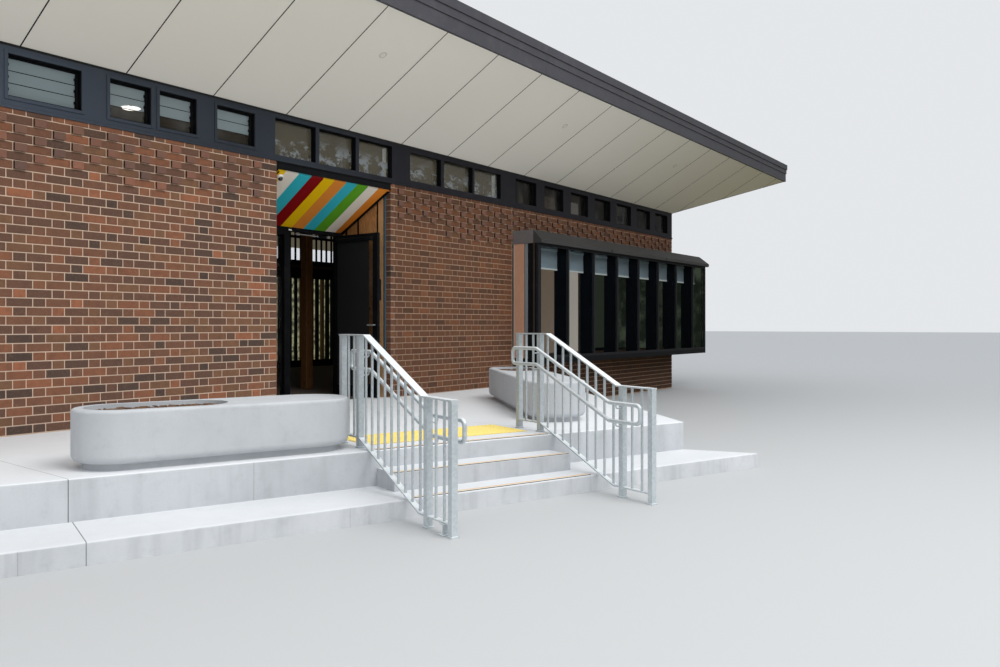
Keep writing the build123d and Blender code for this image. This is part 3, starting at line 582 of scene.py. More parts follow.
def lay_wall(name, side, fields, middles, node_names, proud=None, closer=None, deep=(), seed=1,
             openings=(), core=()):
    """Lay one wall. Fields and openings are (left, right, bottom, top) areas of the side's face."""
    chance = random.Random(seed)
    whole = bmesh.new()
    whole.verts.layers.float.new("brick_tone")
    count = 0
    for i in range(-1, COURSES):
        bottom = FIRST_BED + i * COURSE
        row = COURSES - i
        single = bmesh.new()
        layer = single.verts.layers.float.new("brick_tone")
        for left, right, low, high in fields:
            z0, z1 = max(bottom, low), min(bottom + BRICK_HEIGHT, high)
            if z1 - z0 < THINNEST:
                continue
            spans = [(left, right)]
            for gap_left, gap_right, gap_low, gap_high in openings:
                if z1 > gap_low + JOINT and z0 < gap_high - JOINT:
                    halves = [half for a, b in spans
                              for half in ((a, min(b, gap_left)), (max(a, gap_right), b))]
                    spans = [(a, b) for a, b in halves if b > a]
            for a, b in spans:
                plan = course_plan(a, b, middles[i % 2], bool(closer) and i % 2 == closer[0]
                                   and abs(b - closer[1]) < 1e-6)
                for x0, x1, head in plan:
                    out = proud(row, (x0 + x1) / 2) if proud and head else 0
                    wobble = -HAIR * chance.random()
                    reach = LEAF if (x0 in deep or x1 in deep) else BRICK_SKIN
                    lay_brick(single, layer, x0, x1, z0, z1, out or wobble, reach, chance)
                    count += 1
        row_mesh = bpy.data.meshes.new("course")
        single.to_mesh(row_mesh)
        single.free()
        whole.from_mesh(row_mesh)
        bpy.data.meshes.remove(row_mesh)
    for left, right, bottom, top in core:
        for face in block(whole, (left, MORTAR_BACK, bottom), (right, WALL, top)):
            inside = face.calc_center_median().y > WALL - 0.02
            face.material_index = 2 if inside else 1
    whole.transform(SIDES[side])
    print(count, "bricks")
    finish_piece(name, whole, [brick, mortar, plaster], replaces=node_names)


# %% [markdown]
# Under the window band some headers stand 28 mm out of the wall. On the left wall they fill five or
# six courses, and their lower edge runs as a gentle wave; the middle wall goes down to course
# eight, and over the bay window every header stands out. They catch the light on their tops and
# throw short shadows.

# %% Choose the headers that stand out
PROUD = 0.028
WAVE_ENDS = (1.926, 3.011, 3.371)
BEFORE_ENTRANCE, AFTER_ENTRANCE = 4.7, 7.05
DEEPER_FROM = 8.14


def left_pattern(row, x):
    """How far a header stands out; rows are counted down from the band."""
    if row == 7:
        return PROUD if any(abs(x - end) < 0.1 for end in WAVE_ENDS) else 0
    return PROUD if 2 <= row <= 6 and x < BEFORE_ENTRANCE else 0


def middle_pattern(row, x):
    """The same for the wall between entrance and bay."""
    limit = 8 if x > DEEPER_FROM else 6
    return PROUD if 2 <= row <= limit and x > AFTER_ENTRANCE else 0


def bay_pattern(row, x):
    """Over the bay all headers but the top course stand out."""
    return PROUD if row >= 2 else 0


entry_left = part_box("front_wall_left")[1].x - corner.x
entry_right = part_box("front_wall_middle")[0].x - corner.x
bay_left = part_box("bay_base_wall")[0].x - corner.x
bay_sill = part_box("bay_base_wall")[1].z
hood_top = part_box("bay_head_wall")[0].z
bay_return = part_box("right_base_wall")[1].y - corner.y
SEALANT = 0.012
FRONT_MIDDLES = (4.449, 4.629)

# %% [markdown]
# The front is laid in four fields. Where a wall ends at the entrance, its last bricks are as deep
# as the leaf, so that the reveal shows brick too.

# %% Lay the front walls
lay_wall("brickwork_left", "front", [(0.0, entry_left, GROUND_FLOOR, BRICK_TOP)], FRONT_MIDDLES,
         ["front_wall_left"], left_pattern, closer=(0, entry_left), deep=(0.0, entry_left), seed=11,
         core=[(WALL, entry_left - MORTAR_BACK, 0, BRICK_TOP)])
lay_wall("brickwork_middle", "front",
         [(entry_right, bay_left - SEALANT, GROUND_FLOOR, BRICK_TOP)], FRONT_MIDDLES,
         ["front_wall_middle"], middle_pattern, deep=(entry_right,), seed=12,
         core=[(entry_right + MORTAR_BACK, bay_left, 0, BRICK_TOP)])
lay_wall("brickwork_bay_base", "front", [(bay_left, WALL_LENGTH, 0, bay_sill)], FRONT_MIDDLES,
         ["bay_base_wall"], deep=(WALL_LENGTH,), seed=13,
         core=[(bay_left, WALL_LENGTH - WALL, 0, bay_sill)])
lay_wall("brickwork_bay_head", "front", [(bay_left, WALL_LENGTH, hood_top, BRICK_TOP)],
         FRONT_MIDDLES, ["bay_head_wall"], bay_pattern, deep=(WALL_LENGTH,), seed=14,
         core=[(bay_left, WALL_LENGTH - WALL, hood_top, BRICK_TOP)])

# %% [markdown]
# The other sides take the same bond. They start behind the corner bricks of their neighbours, and
# the rear wall is laid round its tall window.

# %% Lay the other walls
SIDE_MIDDLES = (0.185, 0.365)
BEHIND = LEAF + JOINT / 2
far_end = WALL_DEPTH - BEHIND
far_core = WALL_DEPTH - MORTAR_BACK
for name, side, node, seed, left, right, low, high, core_left, core_right in (
        ("brickwork_right_base", "right", "right_base_wall", 15,
         BEHIND, bay_return, 0, bay_sill, MORTAR_BACK, bay_return),
        ("brickwork_right_head", "right", "right_head_wall", 16,
         BEHIND, bay_return, hood_top, BRICK_TOP, MORTAR_BACK, bay_return),
        ("brickwork_right", "right", "right_wall", 17,
         bay_return, far_end, 0, BRICK_TOP, bay_return, far_core),
        ("brickwork_left_end", "left", "left_wall", 18,
         BEHIND, far_end, 0, BRICK_TOP, MORTAR_BACK, far_core)):
    lay_wall(name, side, [(left, right, low, high)], SIDE_MIDDLES, [node], seed=seed,
             core=[(core_left, core_right, low, high)])

window_low, window_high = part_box("rear_window_frame")
tall = (corner.x + WALL_LENGTH - window_high.x, corner.x + WALL_LENGTH - window_low.x,
        window_low.z, window_high.z)
inner = WALL_LENGTH - WALL
lay_wall("brickwork_rear", "rear", [(0.0, WALL_LENGTH, 0, BRICK_TOP)], SIDE_MIDDLES,
         ["rear_wall"], deep=(0.0, WALL_LENGTH), seed=19, openings=[tall],
         core=[(WALL, tall[0], 0, BRICK_TOP), (tall[1], inner, 0, BRICK_TOP),
               (tall[0], tall[1], 0, tall[2]), (tall[0], tall[1], tall[3], BRICK_TOP)])

# %% [markdown]
# A soft sealant joint closes the gap between the middle wall and the wall that carries the bay.

# %% Fill the sealant joint
sealant = two_tone("joint_sealant", (8,), (176, 150, 128), (160, 134, 114), Roughness=0.6)
joint = bmesh.new()
for low, high in ((hood_top, BRICK_TOP), (GROUND_FLOOR, hood_top)):
    block(joint, at(bay_left - SEALANT, 0.001, low), at(bay_left, 0.02, high), 0.002)
finish_piece("wall_sealant", joint, [sealant])

# %% [markdown]
# ## Sheet metal and glass
# The window band, the lintel, the frames and the roof edge are painted metal in four dark greys.
# One recipe mixes them all: a slow change of shade for the slight waviness of thin sheet, dust that
# dulls the gloss in patches, and a fine grain in the paint.

# %% Mix painted metal
DUST = paint(150, 145, 138)
LIT_LEFT_FADE, SHADED_RIGHT_FADE = (0.0, 4.5), (5.0, 7.5)


def painted(name, colour, rough=0.45, dust=0.25, ends=None):
    """Painted sheet; ends are the colours of painted light at the left and of painted shade at the
    right.
    """
    finish = Finish(name, Specular_IOR_Level=0.03)
    slow = finish.noise(1.1, 3)
    patch = finish.fade(finish.noise(5, 5, 0.65), 0.45, 0.8)
    base = finish.tint(slow, paint(*colour, 0.92), paint(*colour, 1.08))
    # The ends fade the sheet to a lighter shade at the left and a darker one at the right: painted
    # light and shade.
    if ends:
        run = finish.along(RIGHTWARDS)
        base = finish.tint(1 - finish.fade(run, *LIT_LEFT_FADE), base, paint(*ends[0]))
        base = finish.tint(finish.fade(run, *SHADED_RIGHT_FADE), base, paint(*ends[1]))
    finish.set(Base_Color=finish.tint(patch * dust * 0.4, base, DUST),
               Roughness=patch * dust + (rough - 0.04) + slow * 0.08)
    finish.dent(finish.noise(350, 2) * 0.4 + slow * 8, 0.0015, 0.25)
    return finish


# The band is painted lighter at its left end and darker at its right end: painted light and shade.
band_metal = painted("band_metal", (54, 59, 67), 0.5, 0.05, ends=((80, 88, 102), (40, 40, 45)))
lintel_metal = painted("lintel_metal", (24, 25, 27), 0.5, 0.03)
frame_metal = painted("frame_metal", (19, 20, 23), 0.5, 0.06)
bay_metal = painted("bay_metal", (34, 35, 38), 0.5, 0.05)
sill_metal = painted("sill_metal", (20, 21, 24), 0.5, 0.02)
edge_metal = painted("roof_edge_metal", (76, 76, 82), 0.42, 0.3)
gutter_metal = painted("gutter_metal", (74, 74, 80), 0.42, 0.3)
roof_metal = painted("roof_sheet", (118, 120, 124), 0.45, 0.5)
fin_metal = painted("fin_metal", (12, 18, 28), 0.5, 0.03)

# %% [markdown]
# Galvanised steel shows faint zinc flowers and a cloudy grey bloom. Cells of slightly different
# brightness make the flowers, and a large noise makes the bloom. Faces that look up are painted
# paler, a painted highlight of the sky.

# %% Mix galvanised and bright steel
zinc = Finish("galvanised_steel", Metallic=0.3, Specular_IOR_Level=0.4)
flower = zinc.cells(55, "Color")
flake = zinc.node("ShaderNodeSeparateColor", "Red", sockets={0: flower})
bloom = zinc.noise(7, 4, 0.6)
zinc_colour = zinc.tint(flake * 0.5 + bloom * 0.5, paint(164, 173, 178), paint(192, 199, 203))
streak = zinc.fade(zinc.noise(3, 4, 0.6, stretch=(6, 6, 0.6)), 0.55, 0.8)
streaks_and_lit_tops = zinc.tint(streak * 0.3, zinc_colour, paint(214, 219, 221))
# Faces that look up are painted paler: a painted highlight of the bright sky.
zinc.set(Base_Color=zinc.tint(zinc.fade(zinc.facing("Z"), 0.25, 0.8), streaks_and_lit_tops, paint(236, 240, 242)),
         Roughness=bloom * 0.2 + flake * 0.08 + 0.36)
zinc.dent(bloom * 3 + zinc.noise(120, 2), 0.0006, 0.5)

steel = two_tone("bright_steel", (30,), (186, 187, 188), (214, 215, 216), Metallic=0.6)
steel.set(Roughness=steel.noise(140, 2, stretch=(1, 1, 12)) * 0.2 + 0.2)

# %% [markdown]
# Window glass is a thin sheet that lets the dark rooms show. Layer Weight makes the pane show more
# of its own colour as the view grows flatter, a painted reflection of the pale surroundings; some
# dust keeps the pane from looking like a hole.

# %% Mix glass


def glazing(name, colour, clear, mirror=0.4, smear=0.1, gloss=0.4):
    """Dusty glass; clear is the share of light that a clean pane lets through."""
    finish = Finish(name, Roughness=0.03, Specular_IOR_Level=gloss)
    edge = finish.node("ShaderNodeLayerWeight", "Fresnel", None, {"Blend": 0.3})
    grime = finish.fade(finish.noise(2.2, 5, 0.6, stretch=(1, 1, 0.5)), 0.42, 0.75)
    finish.set(Base_Color=finish.tint(grime * 0.25, paint(*colour), paint(150, 152, 150)),
               Roughness=grime * 0.05 + 0.02,
               # As the view grows flatter the pane shows more of its own colour: a painted
               # reflection.
               Alpha=(1 - clear) + edge * mirror * clear + grime * smear * clear)
    return finish


shade_glass = glazing("shade_glass", (26, 24, 21), 0.35, 0.1, 0.03, 0.03)
# The pale blue-grey of the louvres is a painted reflection of the sky.
louvre_glass = glazing("louvre_glass", (138, 154, 160), 0.25)
low_louvre_glass = glazing("low_louvre_glass", (56, 50, 42), 0.3, 0.2, 0.05, 0.1)
door_glazing = glazing("door_glazing", (14, 15, 17), 0.8, 0.1, 0.02, 0.1)

# %% [markdown]
# Three panes differ from the rest. The hall's are seen against dark rooms; their warm brown and the
# pale patches low in each pane are a painted reflection of the trees and the sky. The bay's front
# is clear. Seen from the room, its end panes and the tall rear window show a bright mottled day
# outside, which is a faint glow in the shader; from outside both are dark glass.

# %% Mix the glass of hall, bay and rear
NO_GLOW = (0.0, 0.0, 0.0)
hall_glass = Finish("hall_glass", Roughness=0.04, Specular_IOR_Level=0.3)
cloudy = hall_glass.noise(5, 5, 0.7, stretch=(1, 1, 1.3))
lower = 1 - hall_glass.fade(hall_glass.axis("Z"), 3.72, 3.96)
# The pale patches are a painted reflection of the sky, and the warm brown one of the trees.
sky_reflection_patch = hall_glass.fade(cloudy, 0.47, 0.60) * (lower * 0.8 + 0.1)
warm = hall_glass.tint(hall_glass.noise(1.4, 2), paint(82, 76, 60), paint(108, 101, 84))
hall_glass.set(Base_Color=hall_glass.tint(sky_reflection_patch, warm, paint(136, 144, 150)),
               Alpha=sky_reflection_patch * 0.3 + 0.62)

bay_pane_glass = Finish("bay_pane_glass", Roughness=0.03, Specular_IOR_Level=0.0,
                        Emission_Strength=1.3, Coat_Roughness=0.03)
end_pane = bay_pane_glass.fade(bay_pane_glass.along(RIGHTWARDS, at(WALL_LENGTH, 0)), 0.55, 0.62)
cloudy = bay_pane_glass.fade(bay_pane_glass.noise(3, 5, 0.7), 0.4, 0.7)
murky = bay_pane_glass.tint(cloudy, paint(24, 30, 22), paint(66, 74, 60))
from_inside = bay_pane_glass.fade(0 - bay_pane_glass.facing("X"), 0.5, 0.9)
bay_pane_glass.set(Base_Color=bay_pane_glass.tint(end_pane, paint(12, 15, 17), murky),
                   Emission_Color=bay_pane_glass.tint(end_pane * from_inside, NO_GLOW, murky),
                   Coat_Weight=end_pane * (1 - from_inside) * 0.6,
                   Alpha=end_pane * 0.70 + 0.30)

rear_glass = Finish("rear_glass", Roughness=0.03, Specular_IOR_Level=0.2, Emission_Strength=0.7)
mottled = rear_glass.fade(rear_glass.noise(7, 4, 0.7), 0.40, 0.60)
from_room = rear_glass.fade(0 - rear_glass.facing("Y"), 0.5, 0.9)
view_out = rear_glass.tint(mottled, (0.40, 0.39, 0.22), (0.03, 0.035, 0.018))
rear_glass.set(Base_Color=rear_glass.tint(mottled, paint(44, 44, 36), paint(30, 31, 26)),
               Emission_Color=rear_glass.tint(from_room, NO_GLOW, view_out),
               Alpha=from_room * 0.3 + 0.55)
print("three special panes mixed")

# %% [markdown]
# ## Concrete
# Terrace, steps and planters are cast concrete in three ages. All have clouds of lime and grit,
# tiny air holes, and fine speckles of sand; upright faces also show darker runs where water comes
# down. Tops are painted paler, a painted light from the sky. The shader finds upright faces by
# their normal.

# %% Mix concrete
HALF_JOINT = 0.0035


def concrete(name, pale, dark, wear=1.0, streaks_and_lit_tops=0.0, lines=()):
    """Concrete; tops are painted paler by a share, as painted light; lines are joints as
    (direction, point, strength, where).
    """
    finish = Finish(name, Specular_IOR_Level=0.3)
    cloud = finish.noise(0.9, 5, 0.62)
    small = finish.noise(9, 5, 0.65)
    grit = finish.noise(190, 2)
    upright = 1 - finish.fade(finish.facing("Z"), 0.3, 0.8)
    runs = finish.fade(finish.noise(5, 4, 0.6, stretch=(1, 1, 0.12)), 0.45, 0.75)
    holes = finish.fade(finish.cells(24), 0.02, 0.05)
    colour = finish.tint(finish.fade(cloud, 0.35, 0.7), paint(*pale), paint(*dark))
    colour = finish.tint(finish.fade(small, 0.5, 0.8) * 0.4, colour, paint(*dark, 0.9))
    colour = finish.tint(upright * runs * 0.45 * wear, colour, paint(*dark, 0.78))
    colour = finish.tint(finish.fade(grit, 0.55, 0.75) * 0.25, colour, paint(*dark, 0.82))
    # Tops are painted paler by this share: painted light from the sky.
    if streaks_and_lit_tops:
        colour = finish.tint((1 - upright) * streaks_and_lit_tops, colour, paint(240, 241, 243))
    colour = finish.tint((1 - holes) * upright * 0.5, colour, paint(*dark, 0.5))
    if lines:
        faces = {"top": 1 - upright, "riser": upright, "both": 1}
        cut = sum((finish.along(direction, point).size() < HALF_JOINT) * faces[where] * strength
                  for direction, point, strength, where in lines)
        colour = finish.tint(cut, colour, paint(104, 106, 106))
    finish.set(Base_Color=colour, Roughness=small * 0.15 + 0.74)
    finish.dent(small * 1.5 + grit * 0.5 + holes * upright * 2, 0.0012, 0.7)
    return finish


# %% [markdown]
# The flight of steps stands at a slant to the front, so it gets directions of its own: along the
# steps and into the flight. The joints in the concrete are written as lines in these directions.

# %% Dress the concrete
stair_turn = math.radians(19.7)
stair_right = Vector((math.cos(stair_turn), -math.sin(stair_turn), 0))
stair_in = Vector((math.sin(stair_turn), math.cos(stair_turn), 0))
stair_origin = at(4.089, -3.688)


def on_stair(s, t, z=0.0):
    """A point given along and into the flight of steps."""
    return stair_origin + stair_right * s + stair_in * t + Vector((0, 0, z))


square_off = Vector((0.998, -0.06, 0))
terrace_lines = [(stair_right, on_stair(-3.19, 0), 0.9, "riser"),
                 (square_off, on_stair(-3.19, 0), 0.5, "top"),
                 (stair_right, on_stair(-1.93, 0), 0.35, "riser"),
                 (square_off, on_stair(1.2, 0), 0.4, "top")]
step_lines = [(stair_right, on_stair(-3.165, 0), 0.8, "both"),
              (stair_right, on_stair(-3.53, 0), 0.3, "riser"),
              (stair_right, on_stair(-1.42, 0), 0.25, "riser")]
terrace_concrete = concrete("terrace_concrete", (200, 203, 207), (184, 187, 191), 0.6, 0.66,
                            terrace_lines)
step_concrete = concrete("step_concrete", (198, 200, 204), (182, 185, 189), 1.0, 0.48, step_lines)
planter_concrete = concrete("planter_concrete", (192, 195, 199), (182, 185, 189), 0.25, 0.1)
dress(terrace_concrete, "terrace", "entry_threshold")
dress(step_concrete, "lower_step", "middle_step")
dress(planter_concrete, "left_planter", "right_planter")

# %% [markdown]
# ## Terrace trim
# Each step edge carries a bonded strip: a dark line in front, which is painted shade under the
# strip's lip, a pale gritty band and an orange line behind. The strip lies along the flight, so its
# bands follow the distance into the flight.

# %% Finish the step edges
strip = Finish("nosing_strip", Roughness=0.8)
GOING = 0.315
STRIP_START, STRIP_WIDTH = 0.015, 0.05
into = strip.along(stair_in, on_stair(0, 0)).wrap(GOING)
# The dark band at the front of each strip is painted shade under the strip's lip.
band = strip.ramp((into - STRIP_START) / STRIP_WIDTH, [
    (0.0, paint(96, 92, 88)), (0.18, paint(228, 222, 206)), (0.62, paint(252, 196, 122)),
    (0.90, paint(150, 132, 112)),
], "CONSTANT")
strip.set(Base_Color=strip.tint(strip.fade(strip.noise(140, 3), 0.5, 0.7) * 0.3, band,
                                paint(180, 176, 168)))
strip.dent(strip.noise(420, 2), 0.001, 0.8)
dress(strip, "nosing_strips")

# %% [markdown]
# The yellow pad warns the foot: it is a sheet of tiles with low flat-topped studs on a 50 mm grid.
# Hundreds of studs share one mesh of cones with few faces. The colour is a strong yellow with
# scuffs, and a tile joint every 300 mm.

# %% Set the warning studs
TILE, STUD = 0.3, 0.05
PAD_LEFT, PAD_FRONT = -0.855, 0.303
STUDS_ALONG, STUDS_DEEP = 34, 12
yellow = Finish("warning_pad", Roughness=0.7)
scuff = yellow.fade(yellow.noise(4, 5, 0.65), 0.45, 0.75)
pad_tint = yellow.tint(scuff * 0.4, paint(254, 230, 134), paint(248, 222, 156))
across = yellow.along(stair_right, on_stair(TILE / 2, 0)).wrap(TILE)
inwards = yellow.along(stair_in, on_stair(0, PAD_FRONT)).wrap(TILE)
tile_line = (across < 0.003) + (inwards < 0.003)
yellow.set(Base_Color=yellow.tint(tile_line * 0.5, pad_tint, paint(170, 148, 84)))
yellow.dent(yellow.noise(240, 3), 0.0008, 0.7)
dress(yellow, "tactile_pad")

studs = bmesh.new()
pad_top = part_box("tactile_pad")[1].z
for i in range(STUDS_ALONG):
    for j in range(STUDS_DEEP):
        foot = on_stair(PAD_LEFT + STUD * (i + 0.6), PAD_FRONT + STUD * (j + 0.6), pad_top - 0.001)
        rod(studs, foot, foot + Vector((0, 0, 0.006)), 0.0165, 10, end_radius=0.0115)
finish_piece("warning_studs", studs, [yellow])

# %% [markdown]
# ## Planters
# The planters are filled with dark soil under a layer of bark chips. The chips are a few hundred
# small bevelled slivers that are scattered and turned at random over the soil.

# %% Fill the planters
HALF_LENGTH, HALF_WIDTH = 0.49, 0.22
HALF_STRAIGHT, END_RADIUS = 0.265, 0.225
CHIPS = 420
soil = two_tone("planting_soil", (40, 5, 0.7), (38, 28, 22), (74, 56, 42), Roughness=0.95)
soil.dent(soil.noise(60, 5, 0.7), 0.012, 0.9)
dress(soil, "planter_soil")
bark = two_tone("bark_chips", (35, 4, 0.7), (70, 50, 36), (136, 104, 76), Roughness=0.9)
bark.dent(bark.noise(150, 3, stretch=(1, 1, 6)), 0.001, 0.8)

edge_turn = math.radians(45.6)
edge_run = Vector((math.cos(edge_turn), math.sin(edge_turn), 0))
soil_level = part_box("planter_soil")[1].z
planters = [(on_stair(-2.5315, 0.405), stair_right),
            (at(6.941, -2.43) + edge_run * 1.055, edge_run)]
chance = random.Random(7)
chips = bmesh.new()
for middle, run in planters:
    side = Vector((-run.y, run.x, 0))
    for k in range(CHIPS):
        u = chance.uniform(-HALF_LENGTH, HALF_LENGTH)
        v = chance.uniform(-HALF_WIDTH, HALF_WIDTH)
        if max(abs(u) - HALF_STRAIGHT, 0) ** 2 + v ** 2 > END_RADIUS ** 2:
            continue
        spot = middle + run * u + side * v
        spot.z = soil_level + chance.uniform(0.0, 0.014)
        tilt = Matrix.Translation(spot) @ Matrix.Rotation(chance.uniform(0, 6.3), 4, "Z") \
            @ Matrix.Rotation(chance.uniform(-0.5, 0.5), 4, "X")
        half = Vector((chance.uniform(0.012, 0.034), chance.uniform(0.006, 0.014), 0.003))
        block(chips, -half, half, 0.0015, turn=tilt)
finish_piece("bark_mulch", chips, [bark])

# %% [markdown]
# ## Roof edge
# The soffit is lined with pale fibre cement sheets. Their joints run straight out from the wall
# every 1.05 m, and a dark shadow gap parts them from the window band. We make each joint a thin
# dark strip that lies on the sloping sheet.

# %% Line the soffits
soffit = two_tone("soffit_sheet", (0.5,), (235, 232, 224), (241, 238, 231), Roughness=0.75)
soffit.dent(soffit.noise(160, 2), 0.0004, 0.3)
dress(soffit, "long_soffits", "end_soffits")
shadow = two_tone("shadow_gap", (12,), (12, 12, 13), (22, 22, 23), Roughness=0.9)

eave_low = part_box("long_fascias")[0].z
rise = eave_low - BAND_TOP
LONG_EAVE, END_EAVE = 1.746, 2.79
SHEET = 1.049
HALF_GAP = 0.0065
# For each side: the length of its wall, the run of its eave, and the run of the eaves beside it.
EAVES = {side: (WALL_LENGTH, LONG_EAVE, END_EAVE) if side in ("front", "rear")
         else (WALL_DEPTH, END_EAVE, LONG_EAVE) for side in ("front", "rear", "right", "left")}
joints = bmesh.new()
for side, (length, run, other) in EAVES.items():
    slope = math.atan2(rise, run)
    place = 1.934 - 5 * SHEET if side == "front" else -3.5 * SHEET
    while place < length + other:
        overrun = max(-place, place - length, 0)
        if overrun < other - 0.1:
            nearest = run * overrun / other
            flat = (run - nearest) / math.cos(slope)
            inner_end = Matrix.Translation((place, -nearest, BAND_TOP + rise * nearest / run))
            on_sheet = SIDES[side] @ inner_end @ Matrix.Rotation(-slope, 4, "X")
            block(joints, (-HALF_GAP, -flat, -0.0012), (HALF_GAP, 0, 0.002), turn=on_sheet)
        place += SHEET
    block(joints, (0, -0.006, BAND_TOP - 0.022), (length, 0, BAND_TOP), turn=SIDES[side])
finish_piece("soffit_joints", joints, [shadow])

# %% [markdown]
# Where two soffits meet at a corner, a mitre joint runs out to the corner of the roof edge.

# %% Cut the mitres
mitres = bmesh.new()
for x, across in ((0, -1), (WALL_LENGTH, 1)):
    for y, back in ((0, -1), (WALL_DEPTH, 1)):
        near = at(x, y, BAND_TOP - 0.001)
        far = at(x + across * END_EAVE, y + back * LONG_EAVE, eave_low - 0.001)
        rod(mitres, near, far, 0.005, 6)
finish_piece("soffit_mitres", mitres, [shadow])

# %% [markdown]
# Three small round lamps sit in the front soffit. Each is a trim ring with a frosted lens.

# %% Fit the soffit lamps
lens = two_tone("lamp_lens", (60,), (226, 224, 216), (238, 236, 230), Roughness=0.35)
lamp_ring = two_tone("lamp_ring", (50,), (196, 194, 188), (208, 206, 200), Roughness=0.4)
LAMP_PLACES = ((5.581, -1.179), (9.859, -1.130), (14.123, -1.140))
RING_RADIUS, LENS_RADIUS = 0.050, 0.036
lamps = bmesh.new()
front_slope = math.atan2(rise, LONG_EAVE)
down = Vector((0, -math.sin(front_slope), -math.cos(front_slope)))
for x, y in LAMP_PLACES:
    middle = at(x, y, BAND_TOP - y * math.tan(front_slope))
    rod(lamps, middle + down * -0.01, middle + down * 0.004, RING_RADIUS, 24)
    rod(lamps, middle, middle + down * 0.006, LENS_RADIUS, 24, finish=1)
finish_piece("soffit_lamps", lamps, [lamp_ring, lens], round_angle=40)

# %% [markdown]
# The roof edge has a pale flashing line on top, a broad upper sheet and a lower board. The CAD
# gives its stepped section; lap joints every few metres break its length.

# %% Trim the roof edge
dress(edge_metal, "long_fascias", "end_fascias")
eave_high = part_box("long_fascias")[1].z
EDGE_OUT, UPPER_OUT = 0.04, 0.014
LAP, LAP_THICKNESS = 0.09, 0.0018
FIRST_LAP = 1.9
laps = bmesh.new()
for side, (length, run, other) in EAVES.items():
    face, corner_face = run + EDGE_OUT, other + EDGE_OUT
    for k in range(5):
        x = -corner_face + FIRST_LAP + k * (length + 2 * corner_face - FIRST_LAP) / 4.4
        for out, low, high in ((0, eave_low + 0.004, eave_low + 0.188),
                               (UPPER_OUT, eave_low + 0.192, eave_high - 0.122)):
            block(laps, (x, -face - out - LAP_THICKNESS, low), (x + LAP, -face - out, high),
                  0.0006, turn=SIDES[side])
finish_piece("roof_edge_laps", laps, [gutter_metal])

# %% [markdown]
# The roof itself is ribbed sheet. A rib every 0.4 m, laid from front to back over the flat deck,
# is enough to read as a metal roof from above; each rib is a narrow trapezoid.

# %% Rib the roof
dress(roof_metal, "roof_deck")
deck_low, deck_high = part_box("roof_deck")
RIB_PITCH, RIB_WIDTH, RIB_HEIGHT = 0.4, 0.06, 0.028
ribs = bmesh.new()
for k in range(int((deck_high.x - deck_low.x) / RIB_PITCH)):
    x = deck_low.x + 0.25 + k * RIB_PITCH
    made = bmesh.ops.create_cube(ribs, size=1, matrix=between(
        (x - RIB_WIDTH / 2, deck_low.y + 0.02, deck_high.z - 0.001),
        (x + RIB_WIDTH / 2, deck_high.y - 0.02, deck_high.z + RIB_HEIGHT)))
    top = [v for v in made["verts"] if v.co.z > deck_high.z + RIB_HEIGHT / 2]
    bmesh.ops.scale(ribs, vec=(0.5, 1, 1), space=Matrix.Translation((-x, 0, 0)), verts=top)
finish_piece("roof_ribs", ribs, [roof_metal])

# %% [markdown]
# ## Window band
# The band is folded sheet between the brick and the soffit. Its lower edge ends in a drip: a small
# lip that stands out over the bricks.

# %% Fold the drip
dress(band_metal, "clerestory_front", "clerestory_rear", "clerestory_ends")
dress(lintel_metal, "entry_lintel")
DRIP = 0.012
drips = bmesh.new()
for side, (length, *_) in EAVES.items():
    block(drips, (-DRIP, -DRIP, BRICK_TOP - 0.004), (length + DRIP, 0.0, BRICK_TOP + 0.022), 0.003,
          turn=SIDES[side])
finish_piece("band_drip", drips, [band_metal])

# %% [markdown]
# The windows of each side are listed once, as left edge, width, sill, height and kind. The rooms
# and the classroom are measured in the photograph. The hall's three windows are centred over the
# entrance, and those over the bay stand between its mullions. The other three sides repeat the
# bay's windows, centred on the wall.

# %% List the windows
BAY_PITCH, BAY_PANE, BAY_PANES = 0.92, 0.65, 7
HALL_PITCH, HALL_PANE = 0.711, 0.652
SILL_AND_HEIGHT = {"room": (3.620, 0.398), "hall": (3.582, 0.458), "bay": (3.608, 0.415)}
room_windows = [(0.860, 0.690), (1.824, 0.688), (2.805, 0.454), (3.359, 0.452), (4.078, 0.523)]
hall_start = entry_left + (entry_right - entry_left - 2 * HALL_PITCH - HALL_PANE) / 2
hall_windows = [(hall_start + k * HALL_PITCH, HALL_PANE) for k in range(3)]
class_windows = [(7.364, 0.703), (8.136, 0.721), (8.907, 0.723)]
first_mullion = bay_left + 0.064
last_mullion = first_mullion + BAY_PANES * BAY_PITCH
bay_windows = [(first_mullion + 0.035 + k * BAY_PITCH, BAY_PANE) for k in range(BAY_PANES)]


def row(windows, kind):
    """Add sill, height and kind to windows given as (left edge, width)."""
    return [(x, width, *SILL_AND_HEIGHT[kind], kind) for x, width in windows]


rows = {"front": row(room_windows, "room") + row(hall_windows + class_windows, "hall")
        + row(bay_windows, "bay")}
for side in ("rear", "right", "left"):
    length = EAVES[side][0]
    number = int((length - 2 * BAY_PITCH) / BAY_PITCH)
    begin = (length - (number - 1) * BAY_PITCH - BAY_PANE) / 2
    rows[side] = row([(begin + k * BAY_PITCH, BAY_PANE) for k in range(number)], "bay")
print({side: len(windows) for side, windows in rows.items()}, "windows")

# %% [markdown]
# A flat frame of four bars serves for the rims, the inner frames and the black reveals. Round the
# room windows, and all windows of the other sides, a flat rim stands 10 mm proud of the band.

# %% Add the rims


def ring(mesh, side, x, z, width, height, border, front, back, trim=0.002):
    """Add a flat frame of four bars round an opening, from depth front to depth back."""
    for low, high in (
        ((x - border, front, z - border), (x, back, z + height + border)),
        ((x + width, front, z - border), (x + width + border, back, z + height + border)),
        ((x, front, z - border), (x + width, back, z)),
        ((x, front, z + height), (x + width, back, z + height + border)),
    ):
        block(mesh, low, high, trim, turn=SIDES[side])


